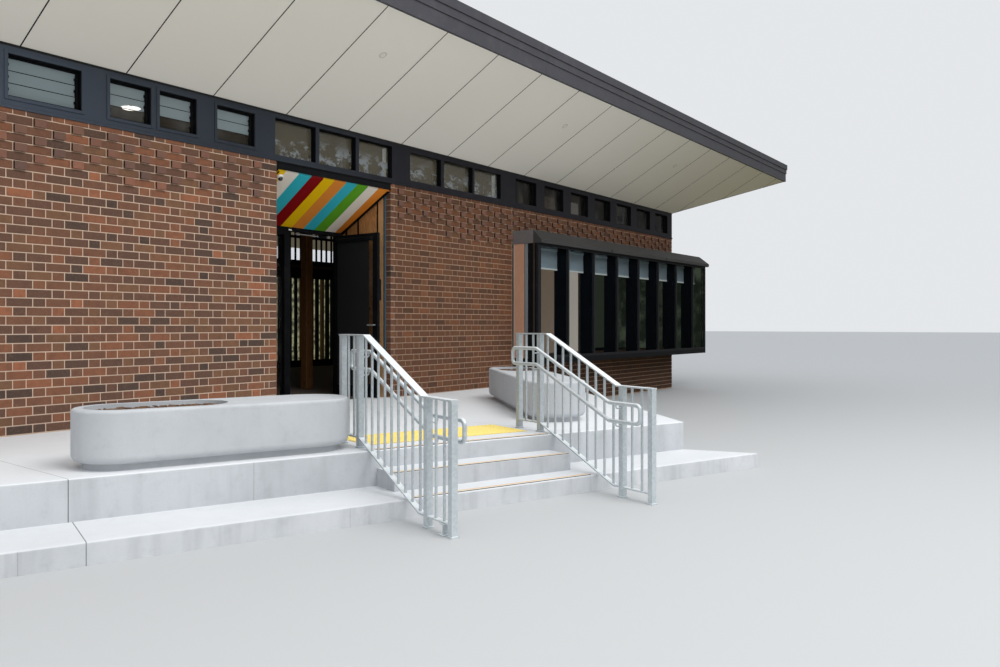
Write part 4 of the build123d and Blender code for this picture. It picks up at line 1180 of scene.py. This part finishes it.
RIM, RIM_OUT = 0.034, 0.010
rims = bmesh.new()
for side, windows in rows.items():
    for x, w, z, h, kind in windows:
        if kind == "room" or side != "front":
            ring(rims, side, x, z, w, h, RIM, -RIM_OUT, 0.0)
finish_piece("window_rims", rims, [band_metal])

# %% [markdown]
# Inside each opening sits a dark frame with its own pane. The rooms have louvres: three glass
# blades with a dark line where they meet, held by clips at both ends. All other windows have single
# panes deep in the opening, behind black reveals.

# %% Glaze the band
LOUVRE, TINTED_LOUVRE, HALL, SHADE = range(4)
LOUVRE_DEPTH, PANE_DEPTH = 0.080, 0.078
LOUVRE_FRAME = 0.024
BLADES, BLADE_TILT = 3, math.radians(5)
TINTED_FROM = 2.6
REVEAL = 0.003
inner_frames = bmesh.new()


def louvres(panes, side, x, w, z, h):
    """Glass blades one above the other, with a dark line and two clips each."""
    f = LOUVRE_FRAME
    ring(inner_frames, side, x + f, z + f, w - 2 * f, h - 2 * f, f, 0.062, 0.112)
    blade = (h - 2 * f) / BLADES
    for k in range(BLADES):
        middle = Matrix.Translation((0, LOUVRE_DEPTH, z + f + (k + 0.5) * blade))
        tilt = SIDES[side] @ middle @ Matrix.Rotation(BLADE_TILT, 4, "X")
        tinted = TINTED_LOUVRE if k == 0 and x > TINTED_FROM else LOUVRE
        block(panes, (x + 0.03, -0.003, -blade / 2 + 0.0035),
              (x + w - 0.03, 0.003, blade / 2 - 0.0035), 0.0, tinted, tilt)
        block(inner_frames, (x + f, 0.0, blade / 2 - 0.004), (x + w - f, 0.004, blade / 2 + 0.004),
              0.0, 0, tilt)
        for clip in (x + f, x + w - 0.040):
            block(inner_frames, (clip, -0.010, -0.014), (clip + 0.016, 0.012, 0.014), 0.002, 0,
                  tilt)


def single_pane(panes, side, x, w, z, h, kind):
    """One pane deep in the opening, in a slim frame."""
    bar = 0.014 if kind == "hall" else 0.020
    ring(inner_frames, side, x + bar, z + bar, w - 2 * bar, h - 2 * bar, bar, PANE_DEPTH - 0.008,
         PANE_DEPTH + 0.03)
    edge = bar - 0.004
    block(panes, (x + edge, PANE_DEPTH, z + edge),
          (x + w - edge, PANE_DEPTH + 0.006, z + h - edge), 0.0,
          HALL if kind == "hall" else SHADE, SIDES[side])


for side, windows in rows.items():
    panes = bmesh.new()
    for x, w, z, h, kind in windows:
        if kind == "room":
            louvres(panes, side, x, w, z, h)
        else:
            single_pane(panes, side, x, w, z, h, kind)
        ring(inner_frames, side, x + REVEAL, z + REVEAL, w - 2 * REVEAL, h - 2 * REVEAL, REVEAL,
             0.004, 0.062 if kind == "room" else PANE_DEPTH - 0.008, 0)
    sheet = "ends" if side in ("left", "right") else side
    finish_piece(f"band_panes_{side}", panes,
                 [louvre_glass, low_louvre_glass, hall_glass, shade_glass],
                 replaces=[f"clerestory_glass_{sheet}"])
finish_piece("band_inner_frames", inner_frames, [frame_metal])

# %% [markdown]
# In the last window of the hall and of the classroom the side of the opening is painted white and
# shows through the glass; it glows, painted light from the room. The ceiling carries one round
# lamp, which is lit.

# %% Paint the bright window sides and light the ceiling lamp
PALE_WHITE, CLEAN_WHITE = (214, 224, 222), (226, 234, 232)
SIDE_FRONT, SIDE_BACK = 0.110, 0.190
LAMP_SPOT, LAMP_RADIUS = (3.766, 1.273), 0.105
LAST_OF_HALL, LAST_OF_CLASSROOM = 7, 10
# Both whites glow: painted light from the room, strongest on the side of the opening.
white_paint_glow, side_glow = [
    two_tone(name, (3,), PALE_WHITE, CLEAN_WHITE, Roughness=0.55, Emission_Strength=strength,
             Emission_Color=paint(*PALE_WHITE))
    for name, strength in (("white_paint_glow", 0.5), ("side_glow", 1.1))]
ends = bmesh.new()
for x, w, z, h, kind in (rows["front"][LAST_OF_HALL], rows["front"][LAST_OF_CLASSROOM]):
    block(ends, at(x + w - 0.004, SIDE_FRONT, z + 0.01), at(x + w, SIDE_BACK, z + h - 0.01), 0.001)
finish_piece("bright_window_sides", ends, [side_glow])
glow = two_tone("lamp_glow", (5,), (252, 246, 232), (255, 250, 240), Roughness=0.4,
                Emission_Strength=24.0, Emission_Color=(1.0, 0.94, 0.84))
room_lamp = bmesh.new()
ceiling_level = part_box("ceiling")[0].z
rod(room_lamp, at(*LAMP_SPOT, ceiling_level - 0.008), at(*LAMP_SPOT, ceiling_level), LAMP_RADIUS,
    32)
finish_piece("ceiling_lamp", room_lamp, [glow], round_angle=40)

# %% [markdown]
# The rooms behind the glass take quiet finishes: pale paint on the ceiling, carpet on the floor,
# and a brown wall that turns pale where it is lit. Its faint glow stands for light from deeper in
# the building.

# %% Paint the rooms
LIT_FROM = 13.50
dress(two_tone("ceiling_paint", (2,), (206, 206, 202), (216, 216, 212), Roughness=0.8), "ceiling")
partition_paint = Finish("partition_paint", Roughness=0.75, Emission_Strength=1.0)
lit = partition_paint.fade(partition_paint.along(RIGHTWARDS), LIT_FROM, LIT_FROM + 0.01)
wall_tone = partition_paint.noise(4) * 0.15 + lit * 0.85
wall_glow = partition_paint.tint(lit, (0.185, 0.140, 0.102), (0.48, 0.45, 0.40))
partition_paint.set(Emission_Color=wall_glow, Base_Color=partition_paint.tint(
    wall_tone, paint(160, 144, 128), paint(186, 182, 170)))
dress(partition_paint, "inner_partition")
dress(two_tone("floor_carpet", (160, 3, 0.7), (58, 48, 42), (92, 78, 68), Roughness=0.95),
      "floor_slab")

# %% [markdown]
# ## Entrance
# The soffit of the recess is a row of boards in bright colours that run into the building. Their
# widths come from the photograph; one ramp with hard steps, read along the front, paints them all.
# The boards aren't quite square to the front, so the reading line is skewed a little.

# %% Paint the striped soffit
stripes = Finish("striped_boards", Roughness=0.65, Specular_IOR_Level=0.15)
soffit_low, soffit_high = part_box("entry_soffit")
span = soffit_high.x - soffit_low.x
SKEW, FIRST_BOARD_CUT = 0.08, 0.093
edge_of_boards = at(soffit_low.x - corner.x - FIRST_BOARD_CUT, 0)
share = stripes.along(Vector((1, -SKEW, 0)), edge_of_boards) / span
board_ends = (5.159, 5.367, 5.569, 5.780, 5.969, 6.178, 6.378, 6.584, 6.781)
starts = [0.0] + [(end - (soffit_low.x - corner.x)) / span for end in board_ends]
colours = [(246, 200, 4), (243, 235, 224), (50, 187, 204), (138, 0, 8), (246, 200, 2),
           (232, 142, 56), (54, 188, 208), (98, 172, 38), (243, 235, 224), (236, 142, 48)]
boards = stripes.ramp(share, [(s, paint(*c)) for s, c in zip(starts, colours)], "CONSTANT")
# Faces that look out to the front are painted half way to black: painted shade, to match the shaded
# underside of the boards.
front_face_shade = stripes.fade(0 - stripes.facing("Y"), 0.7, 0.9)
boards = stripes.tint(front_face_shade * 0.5, boards, paint(10, 10, 10))
stripes.set(Base_Color=stripes.tint(stripes.noise(5, 4) * 0.03, boards, paint(50, 46, 40)))
stripes.dent(stripes.noise(60, 3, stretch=(8, 1, 1)), 0.0005, 0.4)
dress(stripes, "entry_soffit")

# %% [markdown]
# The sides of the recess are lined with plywood and a pine batten. Plywood shows wide wavy grain
# with a few knots, a batten narrow straight grain. Both are noise that is stretched along the
# height; a share of its rings gives the growth lines.

# %% Mix timber


def timber(name, pale, dark, stretch=(6, 6, 0.7), knots=0.5, rough=0.65):
    """Wood between two colours; the grain runs along the axis with the smallest stretch."""
    finish = Finish(name, Specular_IOR_Level=0.3)
    wave = finish.noise(2.2, 4, 0.6, stretch=stretch)
    grain = finish.noise(9, 3, 0.6, stretch=tuple(s * (6 if s > 1 else 1) for s in stretch))
    rings = (wave * 9).wrap(1.0)
    knot = 1 - finish.fade(finish.cells(2.6), 0.03, 0.09)
    colour = finish.tint(finish.fade(rings, 0.1, 0.95) * 0.6 + grain * 0.4, paint(*pale),
                         paint(*dark))
    finish.set(Base_Color=finish.tint(knot * knots, colour, paint(*dark, 0.55)),
               Roughness=grain * 0.2 + (rough - 0.1))
    finish.dent(grain + rings * 0.3, 0.0006, 0.5)
    return finish


plywood = timber("plywood", (202, 148, 94), (160, 110, 68), (3, 3, 0.9), knots=0.8)
batten_wood = timber("batten_wood", (214, 170, 122), (188, 142, 96), knots=0.8)
cheek_wood = timber("cheek_board", (194, 150, 124), (180, 136, 112), knots=0.0, rough=0.5)
post_wood = timber("post_wood", (118, 80, 44), (88, 56, 28), knots=0.3)
seat_wood = timber("seat_wood", (104, 74, 54), (84, 58, 42), (0.7, 6, 6), 0.2)

# %% [markdown]
# Seen from outside, each side starts with the flank of the brickwork. Then come a steel angle, the
# batten, two ply sheets and their black joints. One list gives the depth at which each part starts
# and ends, how far it stands out, and its finish.

# %% Line the recess
recess_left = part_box("sidelight_frame")[0].x - corner.x
recess_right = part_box("hinge_post")[1].x - corner.x
door_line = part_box("hinge_post")[0].y - corner.y
lintel_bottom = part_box("entry_lintel")[0].z
PLY, PINE, BLACK, ANGLE = 0, 1, 2, 3
strips = [(0.090, 0.112, 0.005, ANGLE), (0.112, 0.126, 0.000, BLACK), (0.126, 0.226, 0.001, PINE),
          (0.226, 0.258, -0.004, BLACK), (0.271, 0.628, -0.006, PLY), (0.628, 0.652, 0.003, BLACK),
          (0.652, 0.872, -0.006, PLY), (0.872, 0.900, 0.003, BLACK),
          (0.900, door_line + 0.1, -0.006, PLY)]
linings = bmesh.new()
for inside, wall_edge, side in ((recess_right, entry_right, 1), (recess_left, entry_left, -1)):
    for y0, y1, proud, finish in strips:
        back = wall_edge + side * (0.0 if y0 < WALL else 0.1)
        xs = sorted((inside + side * (0.006 - proud), back))
        block(linings, at(xs[0], y0, GROUND_FLOOR), at(xs[1], y1, lintel_bottom), 0.001, finish)
steel_angle = painted("steel_angle", (72, 86, 96), 0.4, 0.1)
finish_piece("recess_linings", linings, [plywood, batten_wood, frame_metal, steel_angle],
             replaces=["entry_linings"])

# %% [markdown]
# The lintel is a steel channel. Two flange lines run along it, and a black gap closes the sides of
# the striped boards.

# %% Trim the lintel
trims = bmesh.new()
for past, out, low, high in ((DRIP, 0.014, BRICK_TOP - 0.016, BRICK_TOP - 0.001),
                             (0.0, 0.010, lintel_bottom, lintel_bottom + 0.012)):
    block(trims, at(entry_left - past, -out, low), at(entry_right + past, 0.0, high), 0.002)
finish_piece("lintel_flanges", trims, [lintel_metal])
frame_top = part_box("door_frame_head")[1].z
soffit_slope = math.atan2(lintel_bottom - frame_top, door_line)
board_run = math.hypot(door_line, lintel_bottom - frame_top)
gaps = bmesh.new()
for x, width in ((recess_right - 0.040, 0.040), (recess_left, 0.012)):
    slope_down = Matrix.Translation(at(x, 0.002, lintel_bottom - 0.026)) \
        @ Matrix.Rotation(-soffit_slope, 4, "X")
    block(gaps, (0, 0, -0.008), (width, board_run, 0.004), 0.001, turn=slope_down)
finish_piece("soffit_side_gaps", gaps, [frame_metal])

# %% [markdown]
# A small dome camera hangs in the corner: a white ring with a dark half ball. It replaces the plain
# CAD button. The half ball is a sphere whose upper half sits inside the ring.

# %% Shape the dome
DROOP = 0.55
RING_WIDE, RING_SLIM, BALL_RADIUS = 0.046, 0.041, 0.033
white_plastic = two_tone("white_plastic", (40,), (226, 226, 224), (236, 236, 234), Roughness=0.3)
smoked = two_tone("smoked_dome", (20,), (18, 18, 20), (30, 30, 32), Roughness=0.08, Coat_Weight=1.0)
dome_low, dome_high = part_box("dome_camera")
drop = Vector((0, -math.sin(DROOP), -math.cos(DROOP)))
tilt = drop.to_track_quat("Z", "Y").to_matrix().to_4x4()
base = Vector(((dome_low.x + dome_high.x) / 2, (dome_low.y + dome_high.y) / 2 - 0.005,
               dome_high.z - 0.026))
dome = bmesh.new()
bmesh.ops.create_cone(dome, cap_ends=True, segments=32, radius1=RING_WIDE, radius2=RING_SLIM,
                      depth=0.028, matrix=Matrix.Translation(base + drop * 0.012) @ tilt)
ball = bmesh.ops.create_uvsphere(dome, u_segments=24, v_segments=12, radius=BALL_RADIUS,
                                 matrix=Matrix.Translation(base + drop * 0.024) @ tilt)
colour_faces(ball, 1)
finish_piece("dome_lens", dome, [white_plastic, smoked],
             replaces=["dome_camera"], round_angle=40)

# %% [markdown]
# The door frame is black aluminium. A slim silver rail for the door closer runs under its head to a
# small bracket with a dark box, and a white sensor no larger than a matchbox sits at the left. A
# black switch box is screwed to the batten beside the door.

# %% Dress the door frame
dress(frame_metal, "sidelight_frame", "door_frame_head", "hinge_post", "door_leaf",
      "rear_window_frame")
dress(door_glazing, "sidelight_glass")
dress(steel, "door_handles", "hinge_pins", "leaf_hinges")
opening_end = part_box("hinge_post")[0].x - corner.x
opening_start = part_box("sidelight_frame")[1].x - corner.x
door_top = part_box("door_frame_head")[0].z
behind_head = door_line + 0.085
WHITE, BLACK_BOX, SILVER = 1, 2, 3
closer = bmesh.new()
rod(closer, at(opening_start + 0.16, behind_head, door_top - 0.022),
    at(opening_end - 0.12, behind_head, door_top - 0.030), 0.008, 8, finish=SILVER)
for low, high, trim, finish in (
        # bracket, switch box, dark box, sensor
        (at(opening_end - 0.13, door_line + 0.070, door_top - 0.040),
         at(opening_end - 0.10, door_line + 0.097, door_top), 0.002, SILVER),
        (at(recess_right - 0.030, 0.160, 1.84), at(recess_right + 0.004, 0.222, 2.14),
         0.006, BLACK_BOX),
        (at(opening_end - 0.30, door_line + 0.072, door_top - 0.045),
         at(opening_end - 0.14, door_line + 0.097, door_top - 0.001), 0.004, BLACK_BOX),
        (at(opening_start - 0.035, door_line - 0.014, door_top + 0.001),
         at(opening_start + 0.015, door_line, door_top + 0.022), 0.003, WHITE)):
    block(closer, low, high, trim, finish)
closer_silver = painted("closer_silver", (186, 190, 194), 0.4, 0.05)
finish_piece("closer_and_sensor", closer, [steel, white_plastic, bay_metal, closer_silver])

# %% [markdown]
# The door leaf stands open. Behind its glass hangs a black blind in a slim box, which leaves a
# strip of clear glass by the lock. Beads hold the glass below and above. These pieces ride on the
# door, and they stay thin enough to pass the frame when it closes.

# %% Dress the door leaf
leaf_low, leaf_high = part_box("door_leaf")
glass_low, glass_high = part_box("door_glass")
blind_cloth = Finish("blackout_cloth", Roughness=0.6)
weave = blind_cloth.noise(900, 1, stretch=(1, 1, 0.2))
blind_cloth.set(Base_Color=blind_cloth.tint(weave * 0.4 + blind_cloth.noise(3) * 0.6,
                                            paint(14, 15, 18), paint(22, 24, 29)))
blind_cloth.dent(weave, 0.0004, 0.5)
dress(door_glazing, "door_glass")
inner_face, outer_face = leaf_low.x, leaf_high.x
LOCK_STRIP = 0.055
BEAD, BEAD_OUT = 0.012, 0.004
leaf_bits = bmesh.new()
for low, high, trim, finish in (
        # box, cloth and lower bar of the blind
        ((inner_face - 0.052, glass_low.y - 0.02, glass_high.z - 0.015),
         (inner_face - 0.001, glass_high.y + 0.03, glass_high.z + 0.045), 0.012, 0),
        ((inner_face - 0.020, glass_low.y + LOCK_STRIP, glass_low.z - 0.03),
         (inner_face - 0.016, glass_high.y + 0.02, glass_high.z - 0.002), 0.0, 1),
        ((inner_face - 0.026, glass_low.y + LOCK_STRIP, glass_low.z - 0.055),
         (inner_face - 0.010, glass_high.y + 0.02, glass_low.z - 0.028), 0.004, 0),
        # beads under and over the glass
        ((outer_face - 0.001, glass_low.y - BEAD, glass_low.z - BEAD),
         (outer_face + BEAD_OUT, glass_high.y + BEAD, glass_low.z), 0.001, 0),
        ((outer_face - 0.001, glass_low.y - BEAD, glass_high.z),
         (outer_face + BEAD_OUT, glass_high.y + BEAD, glass_high.z + BEAD), 0.001, 0)):
    block(leaf_bits, low, high, trim, finish)
finish_piece("leaf_blind", leaf_bits, [frame_metal, blind_cloth], body="door")

# %% [markdown]
# Through the open door a dark timber post shows, and beyond it the tall rear window behind thin
# fins, half of them black and the others in rust, wine red, sand and blue.

# %% Stand the inner post and the coloured fins
post = bmesh.new()
block(post, at(7.26, 2.16, GROUND_FLOOR), at(7.40, 2.30, BAND_TOP - 0.001), 0.008)
finish_piece("inner_post", post, [post_wood])
dress(rear_glass, "rear_window_glass")
fin_colours = [(126, 74, 48), (20, 20, 22), (96, 14, 14), (20, 20, 22), (150, 118, 84),
               (22, 22, 24), (18, 30, 40)]
fin_paints = [painted(f"fin_paint_{k + 1}", c, 0.5, 0.1) for k, c in enumerate(fin_colours)]
FIN_PITCH, FIN_WIDTH = 0.17, 0.045
BEAM_LOW, BEAM_HIGH = 2.65, 3.10
rear_face = WALL_DEPTH - WALL
fin_places = [11.83 + FIN_PITCH * k for k in range(-5, 10)]
coloured = bmesh.new()
for k, x in enumerate(fin_places):
    deep = 0.05 + 0.006 * k
    block(coloured, at(x, rear_face - deep, window_low.z + 0.02),
          at(x + FIN_WIDTH, rear_face, BEAM_LOW + 0.01), 0.003, k % len(fin_colours))
finish_piece("coloured_fins", coloured, fin_paints)

# %% [markdown]
# A deep black beam with a thin brown edge crosses above the fins. Over it stands a row of upper
# lights between black bars: clear and bright low down, and dull above; both rows glow, painted
# daylight from outside.

# %% Set the beam and the upper lights
# Both rows of upper lights glow: painted daylight from outside.
bright_pane_glow = two_tone("bright_pane_glow", (2,), (206, 210, 206), (226, 228, 224), Roughness=0.3,
                       Emission_Strength=0.75)
bright_pane_glow.set(Emission_Color=bright_pane_glow.tint(bright_pane_glow.noise(1.5), (0.80, 0.84, 0.9),
                                                (0.9, 0.93, 0.98)))
dull_pane_glow = two_tone("dull_pane_glow", (3,), (104, 98, 80), (130, 120, 98), Roughness=0.4,
                     Emission_Strength=0.25)
dull_pane_glow.set(Emission_Color=dull_pane_glow.tint(dull_pane_glow.noise(2), paint(150, 142, 118),
                                            paint(178, 168, 144)))
brown_edge = painted("brown_edge", (66, 54, 44), 0.6, 0.1)
LIGHT_TOP, PAST_GLASS = 3.94, 0.4
BLACK_BAR, BRIGHT, DULL, BROWN_LINE = range(4)
left = window_low.x - corner.x - PAST_GLASS
right = window_high.x - corner.x + PAST_GLASS
upper = bmesh.new()
# beam, its brown edge, base board, bright row, dull row, crossbar
for low, high, back, front, finish in (
        (BEAM_LOW, BEAM_HIGH, 0.02, 0.16, BLACK_BAR), (2.90, 2.98, 0.16, 0.175, BROWN_LINE),
        (GROUND_FLOOR, 0.60, 0.02, 0.16, BLACK_BAR), (3.11, 3.41, 0.004, 0.014, BRIGHT),
        (3.41, LIGHT_TOP, 0.004, 0.014, DULL), (3.66, 3.72, 0.014, 0.08, BLACK_BAR)):
    block(upper, at(left, rear_face - front, low), at(right, rear_face - back, high), 0.0, finish)
for x in fin_places:
    block(upper, at(x, rear_face - 0.05, BEAM_HIGH),
          at(x + FIN_WIDTH, rear_face - 0.014, LIGHT_TOP), 0.003)
finish_piece("upper_lights", upper, [frame_metal, bright_pane_glow, dull_pane_glow, brown_edge])

# %% [markdown]
# ## Corner bay window
# Sill, mullions and hood of the bay are the same dark metal; behind the glass stand deep fins, and
# a blue-grey roller blind hangs half down in each pane. A pale bar weighs down each blind. The
# narrow corner pane has a blind of its own, which is made here.

# %% Dress the bay
dress(sill_metal, "bay_floor_front", "bay_floor_side")
dress(bay_metal, "bay_frame_front", "bay_frame_side")
dress(fin_metal, "bay_fins")
dress(bay_pane_glass, "bay_glass")
dress(seat_wood, "bay_seat")
screen = Finish("screen_cloth", Roughness=0.8)
mesh_weave = screen.noise(700, 1, stretch=(1, 1, 0.3)) + screen.noise(700, 1, stretch=(0.3, 1, 1))
screen.set(Base_Color=screen.tint(mesh_weave * 0.3 + screen.noise(2) * 0.3, paint(198, 226, 242),
                                  paint(214, 236, 250)))
screen.dent(mesh_weave, 0.0005, 0.5)
dress(screen, "bay_blinds")
blind_low, blind_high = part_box("bay_blinds")
BAR, CLOTH = 0, 1
HALF_BLIND, ROLL_RADIUS = 0.42, 0.032
CORNER_BLIND = (last_mullion + 0.05, last_mullion + 0.58)
pane_middles = [first_mullion + (k + 0.5) * BAY_PITCH for k in range(BAY_PANES)]
y = (blind_low.y + blind_high.y) / 2
weights = bmesh.new()
block(weights, (corner.x + CORNER_BLIND[0], blind_low.y, blind_low.z),
      (corner.x + CORNER_BLIND[1], blind_high.y, blind_high.z - 0.002), 0.0, CLOTH)
for start, stop in [(middle - HALF_BLIND, middle + HALF_BLIND) for middle in pane_middles] \
        + [CORNER_BLIND]:
    left, right = corner.x + start, corner.x + stop
    block(weights, (left, y - 0.012, blind_low.z - 0.026), (right, y + 0.012, blind_low.z + 0.002),
          0.006, BAR)
    rod(weights, (left, y + 0.01, blind_high.z - 0.05), (right, y + 0.01, blind_high.z - 0.05),
        ROLL_RADIUS, 16, finish=CLOTH)
# The pale bars take the white paint and its faint glow, which is painted light.
finish_piece("blind_bars", weights, [white_paint_glow, screen], round_angle=40)

# %% [markdown]
# The left cheek of the bay has a smooth timber board next to the brick, an aluminium angle, and a
# black return to the glass with a brown seal. One list gives where each part starts and stops, how
# far it is set back, and its finish.

# %% Build the cheek
cheek_low, cheek_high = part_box("bay_side_panel")
TIMBER, ALUMINIUM, DARK, BROWN, PALE, GREY = range(6)
PARTS_END = 0.459
BOARD, BEHIND_GLASS = 0.030, 0.012
cheek_parts = [(0.000, 0.024, 0.004, DARK), (0.024, 0.042, 0.000, PALE),
               (0.042, 0.246, 0.004, TIMBER), (0.246, 0.257, 0.006, BROWN),
               (0.257, 0.308, 0.000, ALUMINIUM), (0.308, 0.425, 0.024, DARK),
               (0.425, PARTS_END, 0.004, BROWN)]
cheek_paints = [cheek_wood, painted("aluminium_angle", (118, 124, 128), 0.4, 0.2), frame_metal,
                painted("brown_seal", (58, 48, 42), 0.6, 0.1),
                painted("pale_edge", (168, 160, 152), 0.5, 0.2)]
cheek = bmesh.new()
for start, stop, inset, finish in cheek_parts:
    block(cheek, (cheek_low.x + inset, cheek_high.y - stop, cheek_low.z),
          (cheek_high.x, cheek_high.y - start, cheek_high.z), 0.001, finish)
block(cheek, (cheek_low.x + 0.010, cheek_low.y, cheek_low.z),
      (cheek_high.x, cheek_high.y - PARTS_END, cheek_high.z), 0.001, DARK)
finish_piece("bay_cheek", cheek, cheek_paints, replaces=["bay_side_panel"])

# %% [markdown]
# The far end of the bay is closed with the same row of parts, on a grey board that glows faintly:
# painted light from the room.

# %% Close the far end of the bay
side_low, side_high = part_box("bay_frame_side")
brick_face = corner.x + WALL_LENGTH
glass_line = side_low.x - BEHIND_GLASS
far_cheek = bmesh.new()
for start, stop, inset, finish in cheek_parts:
    block(far_cheek, (brick_face + start, side_high.y - BOARD, side_low.z),
          (brick_face + stop, side_high.y - inset, side_high.z), 0.001, finish)
block(far_cheek, (brick_face + PARTS_END, side_high.y - BOARD, side_low.z),
      (glass_line, side_high.y - 0.010, side_high.z), 0.001, DARK)
block(far_cheek, (brick_face, side_high.y - BOARD - 0.024, side_low.z),
      (glass_line, side_high.y - BOARD, side_high.z), 0.001, GREY)
# The grey board glows faintly: painted light from the room.
grey_board_glow = painted("grey_board_glow", (86, 92, 80), 0.6, 0.2)
grey_board_glow.set(Emission_Color=paint(46, 52, 42), Emission_Strength=1.0)
finish_piece("bay_far_cheek", far_cheek, cheek_paints + [grey_board_glow])

# %% [markdown]
# The hood gets thin joints, a drip edge below and a cap at its end that is painted paler: painted
# light on that side.

# %% Trim the hood
HOOD_SHEET, HOOD_JOINT, BEVEL = 2.45, 0.05, 0.17
hood_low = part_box("bay_hood_front")[0]
hood_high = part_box("bay_hood_side")[1]
hood_bits = bmesh.new()
for k in (1, 2):
    x = corner.x + bay_left + k * HOOD_SHEET
    block(hood_bits, (x, hood_low.y - 0.0005, hood_low.z + 0.004),
          (x + HOOD_JOINT, hood_low.y + 0.002, hood_low.z + 0.058), 0.0005)
block(hood_bits, (hood_low.x + 0.01, hood_low.y + 0.02, hood_low.z - 0.010),
      (hood_high.x - 0.02, hood_low.y + 0.032, hood_low.z), 0.002)
# The end cap is painted paler: painted light on that side of the hood.
lit_end_cap = painted("hood_lit_end_cap", (108, 104, 104), 0.6, 0.3)
block(hood_bits, (hood_low.x - 0.004, hood_low.y + BEVEL, hood_low.z + 0.001),
      (hood_low.x, cheek_high.y, hood_high.z - 0.001), 0.001, 1)
finish_piece("hood_trim", hood_bits, [bay_metal, lit_end_cap])
hood_metal = painted("hood_metal", (64, 63, 63), 0.5, 0.1)
dress(hood_metal, "bay_hood_front", "bay_hood_side")

# %% [markdown]
# ## Balustrades
# Posts, rails, balusters and hooked brackets come from the CAD and take the zinc finish. A smith
# leaves small traces that the eye expects: a weld bead round the foot of each post, and one short
# bolted foot under the lower end of the left bottom rail.

# %% Add the smith's traces
dress(zinc, "balustrades", "handrails")
SPACING = 1.91
FIRST_BALUSTER, BALUSTER_PITCH = 0.567, 0.1176
POSTS = (0, 3, 13, 16)
BEAD_HALF, BEAD_LOW, BEAD_HIGH = 0.028, 0.0095, 0.014
stair_frame = Matrix.Translation(on_stair(0, 0)) @ Matrix.Rotation(-stair_turn, 4, "Z")
smith = bmesh.new()
for s in (-SPACING / 2, SPACING / 2):
    for k in POSTS:
        t = FIRST_BALUSTER - k * BALUSTER_PITCH
        ground = GROUND_FLOOR if t > 0 else 0.0
        block(smith, (s - BEAD_HALF, t - BEAD_HALF, ground + BEAD_LOW),
              (s + BEAD_HALF, t + BEAD_HALF, ground + BEAD_HIGH), 0.002, 0, stair_frame)
# the foot: plate, stem, saddle and two bolts
s, t = -SPACING / 2, -1.215
for wide, deep, low, high in ((0.045, 0.04, 0.0, 0.009), (0.025, 0.006, 0.009, 0.076),
                              (0.034, 0.03, 0.076, 0.084)):
    block(smith, (s - wide, t - deep, low), (s + wide, t + deep, high), 0.001, 0, stair_frame)
for aside in (-0.032, 0.032):
    foot = on_stair(s + aside, t - 0.022, 0.009)
    rod(smith, foot, foot + Vector((0, 0, 0.008)), 0.008, 6)
finish_piece("weld_beads_and_foot", smith, [zinc])

# %% [markdown]
# ## Floor of the studio
# The building stands on a wide pale floor that catches its shadow. Near the steps the floor throws
# much light under the eaves; further out and to the right it throws back less and warmer light.
# The camera sees one even tone.

# %% Lay the stage
STAGE_HALF = 180
NEAR_FLOOR, FAR_FLOOR = paint(241, 241, 239), paint(112, 105, 76)
SEEN_FLOOR = (0.50, 0.505, 0.51)
stage_finish = Finish("stage_floor", Roughness=0.9)
shown = stage_finish.node("ShaderNodeLightPath", "Is Camera Ray")
to_right = stage_finish.fade(stage_finish.axis("X"), 1.0, 7.0)
away = 0 - stage_finish.along(Vector((0.33, 1, 0)), Vector((-7.9, -8.5, 0)))
dim = to_right.calc("MAXIMUM", to_right, stage_finish.fade(away, 0.0, 2.5))
bounce = stage_finish.tint(dim, NEAR_FLOOR, FAR_FLOOR)
stage_finish.set(Base_Color=stage_finish.tint(shown, bounce, SEEN_FLOOR))
ground = bmesh.new()
bmesh.ops.create_grid(ground, x_segments=1, y_segments=1, size=STAGE_HALF)
data = bpy.data.meshes.new("stage_floor")
ground.to_mesh(data)
ground.free()
stage_floor = bpy.data.objects.new("stage_floor", data)
bpy.context.scene.collection.objects.link(stage_floor)
data.materials.append(stage_finish.material)

# %% Check and finish
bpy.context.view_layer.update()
total = sum(len(o.data.polygons) for o in bpy.data.objects if o.type == "MESH")
print("all faces:", total)
